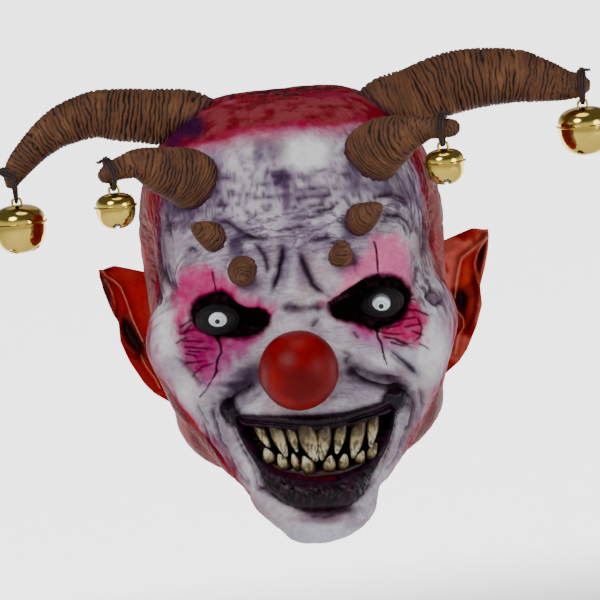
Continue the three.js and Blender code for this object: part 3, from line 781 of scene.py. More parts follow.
@dataclass(frozen=True)
class LatexFinish:
    """Airbrushed latex: stored paint broken up by grain, satin, wet where the paint is."""

    pore_mm: float = 0.14
    grain: float = 0.16

    def make(self) -> bpy.types.Material:
        """Build the material."""
        sheet = Sheet("painted_latex")
        paint = sheet.paint("paint")
        grain = sheet.noise(260.0, 6.0)
        speck = sheet.noise(900.0, 3.0)
        shades = sheet.ramp(grain, ((0.3, (1 - self.grain,) * 3), (0.62, (1.05,) * 3)))
        colour = sheet.mix("MULTIPLY", 1.0, paint, shades)
        dust = sheet.range(speck, 0.62, 0.74, 0.0, 0.3)
        colour = sheet.mix("MIX", dust, colour, sheet.mix("MULTIPLY", 1.0, paint, (0.5, 0.4, 0.44)))
        wet = sheet.channel(sheet.stored("coat"), "Red")
        rough = sheet.range(wet, 0.0, 1.0, 0.7, 0.3)
        pores = sheet.bump(sheet.noise(1500.0, 3.0), 0.35, self.pore_mm)
        folds = sheet.bump(sheet.noise(170.0, 7.0, (1.0, 1.0, 2.2)), 0.5, 0.7, pores)
        sheet.join(sheet.range(wet, 0.3, 0.8, 0.0, 0.22), sheet.shader.inputs["Specular IOR Level"])
        return sheet.dress(colour, rough, folds)


@dataclass(frozen=True)
class HornFinish:
    """Carved horn: tan and dark brown by groove depth, the tan painted highlights and the dark brown partly painted
    shade, matt.
    """

    name: str = "carved_horn"

    def make(self) -> bpy.types.Material:
        """Build the material."""
        sheet = Sheet(self.name)
        paint = sheet.paint("paint", 1.22, 1.1)
        grain = sheet.noise(420.0, 6.0)
        shades = sheet.ramp(grain, ((0.3, (0.74, 0.72, 0.7)), (0.66, (1.1, 1.1, 1.06))))
        colour = sheet.mix("MULTIPLY", 1.0, paint, shades)
        bump = sheet.bump(grain, 0.55, 0.5)
        rough = sheet.range(grain, 0.3, 0.7, 0.62, 0.8)
        sheet.set(Specular_IOR_Level=0.35)
        return sheet.dress(colour, rough, bump)


@dataclass(frozen=True)
class NoseFinish:
    """Red lacquer, darker where it was sprayed twice."""

    name: str = "red_lacquer"

    def make(self) -> bpy.types.Material:
        """Build the material."""
        sheet = Sheet(self.name)
        paint = sheet.paint("paint")
        cloudy = sheet.noise(60.0, 4.0)
        shades = sheet.ramp(cloudy, ((0.3, (0.8,) * 3), (0.7, (1.1,) * 3)))
        colour = sheet.mix("MULTIPLY", 1.0, paint, shades)
        bump = sheet.bump(sheet.noise(240.0, 4.0), 0.25, 0.18)
        rough = sheet.range(sheet.noise(150.0, 3.0), 0.3, 0.7, 0.34, 0.5)
        sheet.set(Specular_IOR_Level=0.14)
        return sheet.dress(colour, rough, bump)


@dataclass(frozen=True)
class BrassFinish:
    """Polished plated brass with a faint lathe grain."""

    name: str = "polished_brass"
    colour: Point3 = (0.86, 0.62, 0.12)

    def make(self) -> bpy.types.Material:
        """Build the material."""
        sheet = Sheet(self.name)
        haze = sheet.noise(90.0, 4.0)
        colour = sheet.ramp(haze, ((0.3, tuple(0.86 * c for c in self.colour)), (0.7, self.colour)))
        rough = sheet.range(sheet.noise(300.0, 4.0), 0.3, 0.7, 0.07, 0.17)
        bump = sheet.bump(sheet.noise(70.0, 2.0), 0.12, 0.3)
        sheet.set(Metallic=1.0)
        return sheet.dress(colour, rough, bump)


@dataclass(frozen=True)
class PlainFinish:
    """Grained finish for the small pieces: two shades, a roughness span and a bump."""

    name: str
    dark: Point3
    light: Point3
    grain: float
    rough: Point2
    bump_mm: float
    metallic: float = 0.0
    painted: bool = False
    gleam: float = 0.5

    def make(self) -> bpy.types.Material:
        """Build the material."""
        sheet = Sheet(self.name)
        grain = sheet.noise(self.grain, 5.0)
        colour = sheet.ramp(grain, ((0.3, self.dark), (0.7, self.light)))
        if self.painted:
            colour = sheet.mix("MULTIPLY", 1.0, sheet.paint("paint"), colour)
        rough = sheet.range(grain, 0.3, 0.7, self.rough[0], self.rough[1])
        sheet.set(Metallic=self.metallic, Specular_IOR_Level=self.gleam)
        return sheet.dress(colour, rough, sheet.bump(grain, 0.5, self.bump_mm))


class Finishes:
    """Every finish of the mask, made once."""

    def __init__(self) -> None:
        """Build the materials."""
        self.latex = LatexFinish().make()
        self.horn = HornFinish().make()
        self.nose = NoseFinish().make()
        self.brass = BrassFinish().make()
        self.tooth = PlainFinish(
            "stained_bone", (0.78,) * 3, (1.08,) * 3, 380.0, (0.28, 0.5), 0.25, painted=True
        ).make()
        self.lid = PlainFinish(
            "lid_skin", (0.7,) * 3, (1.1,) * 3, 700.0, (0.55, 0.8), 0.3, painted=True, gleam=0.3
        ).make()
        self.eye = PlainFinish(
            "painted_eye", (0.85,) * 3, (1.1,) * 3, 500.0, (0.34, 0.5), 0.08, painted=True
        ).make()
        self.cord = PlainFinish(
            "waxed_cord", (0.012, 0.004, 0.003), (0.04, 0.016, 0.011), 1800.0, (0.6, 0.8), 0.3
        ).make()
        self.steel = PlainFinish(
            "plain_steel", (0.32, 0.32, 0.33), (0.5, 0.5, 0.52), 300.0, (0.3, 0.45), 0.05, metallic=1.0
        ).make()


# What is carved and painted on the skin, on the painter's sheet


@dataclass(frozen=True)
class Groove:
    """A carved line: its course, half width on the sheet, depth in millimetres, and how dark the painted shade in it
    is.
    """

    course: tuple[Point2, ...]
    width: float = 2.2
    depth: float = 1.6
    wash: float = 0.7


@dataclass(frozen=True)
class Brushline:
    """A painted line: its course, half width on the sheet, colour and strength."""

    course: tuple[Point2, ...]
    width: float
    colour: str = "120a0c"
    strength: float = 0.9


@dataclass(frozen=True)
class Patch:
    """A sprayed patch: outline, edge softness on the sheet, colour, strength and how streaky its edge is."""

    outline: tuple[Point2, ...]
    soft: float
    colour: str
    strength: float = 1.0
    streaks: float = 4.0


@dataclass(frozen=True)
class Puff:
    """A round puff of spray: centre, half sizes, colour and strength."""

    centre: Point2
    size: Point2
    colour: str
    strength: float


@dataclass(frozen=True)
class Swell:
    """A swelling or dent: centre and half sizes on the sheet, turn in degrees, and height in millimetres."""

    centre: Point2
    size: Point2
    turn: float
    height: float


# Height that every swelling and groove of the tables is multiplied by
RELIEF = 1.5

# Middles of the two balls at the corners of the lips, and their radius, on the sheet
LIP_CORNERS = ((228.0, 411.0), (398.0, 399.0))
CORNER_RADIUS = 11.5

SWELLS = (
    Swell((258, 274), (17, 13), 20, 2.2),
    Swell((346, 268), (17, 13), -20, 2.2),
    Swell((236, 300), (34, 6), 22, 3.0),
    Swell((352, 283), (34, 6), -28, 3.0),
    Swell((228, 374), (38, 9), -32, 5.0),
    Swell((386, 366), (40, 9), 26, 5.0),
    Swell((392, 208), (16, 9), -20, 2.6),
    Swell((390, 235), (17, 9), -30, 2.6),
    Swell((216, 236), (15, 9), 30, 1.8),
    Swell((330, 400), (40, 12), -4, 1.5),
    Swell((262, 402), (22, 9), 6, 1.5),
    Swell((325, 509), (30, 3.5), -3, -2.2),
    Swell((200, 350), (24, 10), 30, 1.6),
    Swell((400, 336), (24, 10), -24, 1.6),
    Swell((290, 336), (12, 16), 0, 2.0),
    Swell((256, 492), (12, 16), 30, 3.4),
    Swell((270, 532), (17, 17), 30, -4.6),
    Swell((385, 477), (11, 12), 0, 1.8),
)

GROOVES = (
    Groove(((282, 241), (283, 256), (279, 276), (272, 295)), 2.2, 3.0, 1.0),
    Groove(((299, 249), (305, 267), (314, 286), (328, 297)), 2.2, 3.0, 1.0),
    Groove(((287, 188), (318, 188), (348, 185)), 1.3, 0.9, 0.45),
    Groove(((290, 202), (310, 196), (327, 195), (333, 192)), 1.4, 1.3, 0.75),
    Groove(((296, 211), (312, 207), (330, 204)), 1.2, 0.8, 0.4),
    Groove(((312, 212), (322, 212), (332, 208), (342, 200)), 1.4, 1.4, 0.8),
    Groove(((272, 233), (287, 229), (309, 226)), 1.4, 1.1, 0.65),
    Groove(((238, 237), (256, 238), (272, 239)), 1.3, 1.0, 0.5),
    Groove(((259, 208), (275, 209)), 1.2, 0.9, 0.5),
    Groove(((226, 177), (234, 180), (245, 181)), 1.2, 0.9, 0.5),
    Groove(((206, 210), (222, 205), (232, 204)), 1.3, 1.2, 0.8),
    Groove(((305, 241), (318, 240), (333, 237)), 1.3, 1.1, 0.65),
    Groove(((328, 243), (340, 243), (353, 245)), 1.3, 1.2, 0.8),
    Groove(((256, 197), (270, 199), (284, 198)), 1.2, 0.7, 0.35),
    Groove(((288, 219), (306, 217), (322, 219)), 1.2, 0.8, 0.35),
    Groove(((254, 219), (268, 221), (282, 220)), 1.2, 0.7, 0.3),
    Groove(((300, 176), (322, 171), (344, 172)), 1.2, 0.8, 0.35),
    Groove(((268, 165), (266, 180), (262, 190)), 1.6, 0.6, 0.3),
    Groove(((371, 202), (377, 196), (391, 194), (402, 199), (410, 209)), 1.7, 2.0, 0.9),
    Groove(((380, 222), (387, 216), (397, 215), (404, 221), (408, 232), (411, 242)), 1.7, 2.0, 0.9),
    Groove(((384, 206), (394, 203), (403, 210)), 1.5, 1.2, 0.5),
    Groove(((212, 222), (227, 222), (236, 228), (246, 235), (258, 239), (268, 239)), 1.6, 1.4, 0.7),
    Groove(((252, 241), (260, 249), (265, 257), (268, 269), (266, 277)), 1.7, 1.6, 0.8),
    Groove(((187, 252), (193, 249), (200, 252)), 1.6, 1.4, 0.6),
    Groove(((160, 218), (160, 240), (163, 262), (169, 283), (174, 296)), 1.5, 1.4, 0.75),
    Groove(((168, 260), (172, 276), (177, 292)), 1.3, 1.2, 0.6),
    Groove(((155, 250), (157, 280), (162, 310)), 1.4, 1.0, 0.45),
    Groove(((165, 210), (170, 226), (172, 240)), 1.6, 1.0, 0.5),
    Groove(((417, 196), (421, 214), (423, 240), (422, 262)), 1.5, 1.4, 0.6),
    Groove(((427, 200), (430, 225), (431, 250)), 1.3, 1.0, 0.45),
    Groove(((413, 250), (414, 270), (415, 290)), 1.4, 1.2, 0.55),
    Groove(((432, 286), (427, 296), (434, 303), (444, 302)), 1.8, 1.6, 0.6),
    Groove(((388, 348), (395, 355), (405, 363), (418, 375)), 1.7, 2.2, 0.9),
    Groove(((346, 363), (352, 372), (364, 378), (378, 383), (392, 384), (404, 387), (411, 394)), 3.4, 3.6, 1.0),
    Groove(((259, 381), (248, 387), (237, 394), (229, 401), (216, 404)), 3.6, 3.6, 1.0),
    Groove(((344, 365), (349, 355), (341, 352)), 1.6, 1.2, 0.4),
    # Two broad shallow grooves whose wash is painted shade along the folds from the nose to the corners of the mouth
    Groove(((264, 362), (250, 376), (234, 390), (219, 401)), 6.5, 0.5, 0.42),
    Groove(((345, 358), (360, 371), (382, 379), (404, 386)), 5.0, 0.5, 0.45),
    Groove(((411, 394), (412, 404), (409, 418), (404, 434)), 2.0, 2.4, 0.75),
    Groove(((216, 404), (214, 412), (218, 424), (221, 436), (228, 452)), 2.0, 2.4, 0.75),
    Groove(((404, 434), (399, 446), (391, 462), (384, 474)), 1.6, 1.5, 0.5),
    Groove(((228, 452), (238, 470), (251, 487)), 1.6, 1.5, 0.5),
    Groove(((420, 386), (421, 404), (415, 424)), 1.5, 1.5, 0.5),
    Groove(((201, 418), (210, 436), (222, 455), (236, 476)), 1.6, 1.7, 0.6),
    Groove(((196, 402), (203, 414), (211, 428)), 1.4, 1.2, 0.45),
    Groove(((254, 476), (262, 488), (270, 494), (284, 501)), 1.4, 1.2, 0.5),
    Groove(((296, 509), (312, 512), (330, 512), (350, 510)), 1.8, 1.6, 1.0),
    Groove(((308, 516), (324, 517), (338, 514)), 1.6, 1.0, 0.8),
    Groove(((310, 327), (316, 322), (320, 318)), 1.5, 1.2, 0.5),
    Groove(((283, 311), (291, 307), (299, 309)), 2.2, 1.4, 0.55),
    Groove(((322, 310), (312, 307), (306, 309)), 2.0, 1.2, 0.55),
    Groove(((174, 356), (186, 364), (197, 378), (207, 392)), 1.6, 1.6, 0.45),
    Groove(((352, 331), (356, 335), (358, 339)), 1.2, 0.8, 0.6),
)

# Short dark strokes in the pink beside and below the eyes
CROWS_FEET = (
    ((380, 332), (392, 334), (404, 334)),
    ((387, 328), (396, 326), (402, 324)),
    ((403, 319), (411, 318), (418, 317)),
    ((406, 309), (416, 310), (428, 315), (435, 314)),
    ((408, 300), (414, 299), (417, 300)),
    ((384, 337), (396, 339), (405, 343), (413, 349)),
    ((397, 341), (405, 344), (412, 343)),
    ((405, 327), (414, 325), (424, 323)),
    ((412, 331), (420, 334), (425, 336)),
    ((420, 344), (426, 347), (430, 350)),
    ((418, 318), (422, 328), (420, 337), (412, 343)),
    ((391, 342), (400, 345), (408, 346)),
    ((191, 320), (184, 325), (177, 329)),
    ((181, 334), (188, 331), (196, 329)),
    ((183, 341), (194, 341), (206, 342)),
    ((185, 347), (198, 348), (214, 349)),
    ((186, 354), (193, 355), (198, 357)),
    ((187, 363), (196, 362), (206, 361)),
    ((193, 376), (202, 367), (211, 364), (217, 362)),
    ((176, 343), (183, 339), (189, 337)),
    ((189, 351), (196, 352), (202, 351)),
    ((191, 325), (186, 331), (183, 335)),
)

BRUSHLINES = (
    Brushline(((212.5, 272), (213.5, 281), (215.5, 288), (217, 294)), 0.9),
    Brushline(((217, 337), (218.5, 341), (221, 346), (221.5, 352), (219, 357), (217, 363), (215, 371), (209, 384)), 1.1),
    Brushline(((209, 384), (204, 392), (198, 399)), 0.8),
    Brushline(((217, 336), (219, 341)), 2.4),
    Brushline(((374, 242), (376, 249), (377.5, 263), (378.3, 277)), 0.9),
    Brushline(((376.5, 329), (378, 337), (381.5, 343), (383, 352), (386.5, 364)), 1.1),
    Brushline(((376.5, 328), (378, 333)), 2.2),
)

SOCKETS = (
    ((190, 314), (192, 305), (199, 298), (209, 295), (217, 291), (222, 290), (231, 295), (238, 302), (247, 307),
     (258, 307), (265, 310), (270, 316), (269, 325), (263, 332), (252, 337), (242, 339), (230, 338), (219, 337),
     (209, 334), (199, 329), (192, 322)),
    ((329, 303), (341, 297), (356, 286), (366, 278), (379, 275), (392, 275), (401, 279), (409, 288), (412, 295),
     (409, 302), (407, 311), (402, 319), (392, 325), (382, 329), (372, 330), (359, 325), (346, 322), (338, 320),
     (331, 316), (328, 309)),
)

LIP_OUTSIDE = (
    (220, 407), (223, 402), (229, 400), (235, 402), (237, 408), (241, 414), (256, 415), (284, 415.4), (308, 415.4),
    (326, 414.4), (347, 412), (366, 406.5), (381, 402), (384, 394), (389, 388.5), (398, 387), (406, 390),
    (409.5, 397), (408, 405), (401, 411), (396.5, 414), (395, 423), (392, 438.6), (386.6, 452.6), (378, 472),
    (371, 485), (362, 496.5), (350, 506), (335, 510), (316.5, 511), (297, 508.5), (282, 503), (271, 494),
    (260, 482), (252, 464), (243.5, 450), (236.5, 436), (233.5, 428), (228, 425), (223, 416),
)
LIP_INSIDE = (
    (239.3, 417), (246, 420.3), (260, 421.7), (284, 423.8), (304, 426), (316.5, 426.6), (326, 425.2), (346, 421.7),
    (361, 416), (375, 412), (389.4, 405.5), (392.2, 409), (391, 419), (388.7, 430), (384, 443), (377, 454),
    (368.4, 462.4), (360, 468), (348.7, 473.7), (335, 479.3), (320.7, 481), (306.6, 479.3), (291, 476.5),
    (278.6, 472), (269, 466.6), (259, 457), (250.5, 445.6), (243.5, 433), (239.3, 422),
)

WHITE_FACE = (
    (162, 176), (157, 200), (156, 250), (151, 300), (147, 335), (156, 368), (186, 413), (214, 443), (239, 478),
    (255, 515), (275, 548), (300, 566), (345, 566), (366, 548), (380, 515), (388, 488), (400, 465), (413, 440),
    (430, 407), (447, 375), (455, 353), (455, 310), (449, 280), (442, 255), (438, 220), (436, 175), (432, 150),
    (405, 135), (360, 121), (333, 126), (296, 126), (266, 129), (241, 131), (211, 141), (185, 148), (170, 160),
)

# The pink round the eyes
PATCHES = (
    Patch(((178, 277), (188, 268), (206, 267), (220, 274), (232, 286), (240, 297), (256, 302), (269, 307), (270, 318),
           (250, 310), (220, 296), (196, 304), (186, 325), (177, 320), (175, 295)), 9.0, "cc7898", 0.88, 8.0),
    Patch(((329, 302), (341, 283), (356, 268), (372, 243), (380, 238), (396, 236), (406, 246), (411, 268), (413, 294),
           (404, 282), (378, 276), (360, 280), (344, 294)), 9.0, "e6a0bc", 0.9, 8.0),
    Patch(((176, 327), (190, 321), (218, 337), (243, 339), (258, 335), (252, 344), (236, 354), (222, 366), (214, 382),
           (202, 384), (190, 372), (181, 356), (178, 340)), 9.0, "a65478", 0.88, 8.0),
    Patch(((219, 350), (240, 345), (256, 340), (248, 350), (232, 362), (218, 380), (206, 392), (196, 392), (206, 374)),
          9.0, "c593b8", 0.4, 4.0),
    Patch(((361, 326), (379, 332), (398, 323), (407, 304), (419, 302), (425, 322), (422, 338), (412, 345), (396, 341),
           (380, 338), (366, 335)), 8.0, "be6c84", 0.9, 7.0),
    Patch(((346, 322), (362, 328), (380, 339), (398, 346), (386, 350), (366, 343), (352, 334)), 7.0, "b77aa6", 0.55, 4.0),
)

# Shading sprayed into the hollows of the face
PUFFS = (
    Puff((271, 150), (18, 14), "6a5a6c", 0.5),
    Puff((282, 178), (12, 10), "4a3a50", 0.75),
    Puff((286, 200), (5, 17), "5a4860", 0.6),
    Puff((303, 123), (6, 9), "5a4a5c", 0.55),
    Puff((258, 152), (6, 16), "6f6074", 0.5),
    Puff((214, 162), (14, 20), "8a7a90", 0.45),
    Puff((190, 206), (22, 12), "5f5068", 0.6),
    Puff((236, 248), (9, 20), "4e4054", 0.7),
    Puff((222, 226), (22, 8), "6a5a70", 0.5),
    Puff((249, 283), (17, 13), "6a586a", 0.7),
    Puff((348, 264), (17, 15), "5a485a", 0.75),
    Puff((354, 224), (17, 16), "4c3c50", 0.7),
    Puff((356, 150), (12, 24), "7a6a80", 0.5),
    Puff((372, 188), (26, 9), "66566c", 0.55),
    Puff((402, 196), (16, 8), "7c6c78", 0.4),
    Puff((285, 262), (9, 24), "7d6d84", 0.45),
    Puff((303, 268), (9, 24), "7d6d84", 0.4),
    Puff((296, 309), (16, 5), "5a464c", 0.65),
    Puff((320, 305), (8, 6), "5a464c", 0.55),
    Puff((250, 374), (26, 8), "7b6b82", 0.6),
    Puff((238, 385), (26, 6), "4a3e50", 0.65),
    Puff((352, 372), (8, 6), "33242a", 0.7),
    Puff((374, 381), (26, 4), "5a4a58", 0.6),
    Puff((330, 510), (32, 6), "4e3c34", 0.7),
    Puff((322, 519), (34, 6), "8a7378", 0.5),
    Puff((264, 486), (6, 5), "5a4044", 0.55),
    Puff((437, 296), (13, 9), "8b7884", 0.5),
    Puff((163, 262), (8, 40), "8d8487", 0.4),
    Puff((425, 240), (9, 44), "9a9090", 0.4),
    Puff((228, 440), (10, 30), "9a8f98", 0.4),
    Puff((410, 430), (10, 30), "8f7f80", 0.45),
    Puff((180, 340), (12, 16), "c8b9c4", 0.3),
)

# Painted shade in dark purple round the horns' feet, and a painted pale sheen on the crown, over the red
HORN_FOOT_SHADE_AND_CROWN_SHEEN = (
    Puff((188, 126), (18, 14), "4a2848", 1.0),
    Puff((170, 138), (14, 12), "5c3050", 1.0),
    Puff((212, 182), (12, 22), "43324a", 0.6),
    Puff((396, 104), (14, 20), "3c1c30", 1.0),
    Puff((352, 176), (12, 16), "4c3a50", 0.5),
    Puff((226, 101), (12, 4), "c890a0", 0.5),
    Puff((330, 95), (30, 4), "a06070", 0.5),
)

# Painted highlights: puffs of paler white on the face
HIGHLIGHTS = (
    Puff((306, 152), (26, 20), "ecebee", 0.95),
    Puff((232, 384), (16, 7), "f0ecf2", 0.4),
    Puff((392, 360), (26, 10), "f0eef2", 0.5),
    Puff((330, 352), (22, 10), "efeaf0", 0.5),
    Puff((190, 392), (18, 22), "efedf0", 0.45),
    Puff((432, 350), (16, 34), "f2eff0", 0.55),
    Puff((404, 240), (10, 12), "f1eef0", 0.6),
    Puff((168, 330), (14, 26), "f0ecee", 0.6),
    Puff((322, 535), (34, 14), "d9dbe2", 0.6),
    Puff((292, 330), (14, 12), "e6dfe6", 0.4),
)


class Carving:
    """Reads the carving tables at places on the sheet."""

    def __init__(self, spots: Array, points: Array, normals: Array) -> None:
        """Keep the sheet places and the form's points.

        Args:
            spots: N by 2 places on the sheet.
            points: N by 3 points of the smooth form, in millimetres.
            normals: N by 3 outward directions there.
        """
        self.spots = spots
        self.points = points
        self.seen = (points[:, 1] < -45.0) & ((normals * unit(VIEW.eye() - points)).sum(axis=1) > -0.25)
        self.front = ease(-points[:, 1], -10.0, 25.0)
        self.lip_out = self._front_only(within(LIP_OUTSIDE, spots))
        self.lip_in = self._front_only(within(LIP_INSIDE, spots))
        self.sockets = [self._front_only(within(outline, spots)) for outline in SOCKETS]

    def _front_only(self, gap: Array) -> Array:
        """Keep a distance where the skin faces the painter, and push it far outside elsewhere."""
        return np.where(self.seen, gap, -99.0)

    def lips(self) -> Array:
        """Roll the lips.

        Returns:
            Their height in millimetres.
        """
        rise = np.clip(self.lip_out, 0.0, None)
        fall = np.clip(-self.lip_in, 0.0, None)
        across = rise / np.maximum(rise + fall, 1e-6)
        roll = np.sin(np.pi * np.clip(across, 0.0, 1.0)) ** 0.7
        thick = np.clip(rise + fall, 0.0, 26.0) / 26.0
        height = (2.6 + 4.2 * thick) * roll * (self.lip_out > 0) * (self.lip_in < 0)
        corner = 0.0
        for centre in LIP_CORNERS:
            gap = np.linalg.norm(self.spots - centre, axis=1)
            corner = corner + 4.5 * np.clip(1.0 - (gap / CORNER_RADIUS) ** 2, 0.0, 1.0) ** 0.6 * self.seen
        creases = cloud(self.spots / (1.1, 1.3), 5.5, 15, 3)
        height = height - 1.5 * roll * thick * ease(1.0 - np.abs(2.0 * creases - 1.0), 0.7, 0.98)
        return np.maximum(height, corner)

    def mouth(self) -> Array:
        """Depth of the mouth's hollow behind the lips."""
        return 15.5 * ease(self.lip_in, -0.5, 5.0)

    def folds(self) -> Array:
        """Raise the swellings and cut the grooves.

        Returns:
            Height along the normal in millimetres.
        """
        height = np.zeros(len(self.spots))
        for swell in SWELLS:
            side = turned(self.spots - swell.centre, -math.radians(swell.turn), 0)
            height += RELIEF * swell.height * np.exp(-((side / swell.size) ** 2).sum(axis=1))
        waver = (cloud(self.spots, 7.0, 3) - 0.5)[:, None] * np.array((3.0, 3.0))
        for groove in GROOVES:
            gap, share = along_line(groove.course, self.spots + waver)
            taper = np.clip(4.0 * share, 0.25, 1.0) * np.clip(4.0 * (1.0 - share), 0.25, 1.0)
            height -= RELIEF * groove.depth * taper * np.exp(-((gap / (groove.width + 0.6)) ** 2))
            bank = (gap - 2.6 * groove.width) / (1.4 * groove.width)
            height += 0.5 * groove.depth * taper * np.exp(-(bank**2))
        for line in CROWS_FEET:
            gap, _ = along_line(line, self.spots)
            height -= 0.7 * np.exp(-((gap / 1.6) ** 2))
        return height * self.front

    def wrinkles(self) -> Array:
        """Press in fine creases, across the forehead and down the temples and jaw.

        Returns:
            Height along the normal in millimetres.
        """
        x, z = self.points[:, 0], self.points[:, 2]
        side = ease(np.abs(x), 70.0, 95.0)
        rise = z + 0.9 * self.points[:, 1]
        across = cloud(np.stack((x / 3.2, rise), axis=-1), 4.6, 11, 4)
        down = cloud(np.stack((self.points @ np.array((0.7, 0.7, 0.0)), z / 4.0), axis=-1), 4.2, 12, 4)
        field = (1 - side) * across + side * down
        ridged = 1.0 - np.abs(2.0 * field - 1.0)
        strength = 0.45 + 0.5 * ease(z, 20.0, 60.0)
        calm = ease(self.lip_out, -2.0, 3.0) + ease(np.max(self.sockets, axis=0), -3.0, 2.0)
        return -1.7 * strength * ridged**4 * (1.0 - np.clip(calm, 0.0, 1.0))

    def temples(self) -> Array:
        """Fill the sides of the head in front of the ears.

        Returns:
            Height along the normal in millimetres.
        """
        x, y, z = self.points.T
        fullness = np.exp(-(((z + 10.0) / 34.0) ** 2) - ((y + 30.0) / 50.0) ** 2)
        return 9.0 * fullness * ease(np.abs(x), 68.0, 92.0)

    def sockets_dent(self) -> Array:
        """Sink the eye sockets and raise their rims.

        Returns:
            Height along the normal in millimetres.
        """
        total = np.zeros(len(self.spots))
        for gap in self.sockets:
            total -= 3.2 * ease(gap, -1.0, 7.0)
            total += 1.0 * np.exp(-(((gap + 2.5) / 2.5) ** 2))
        return total


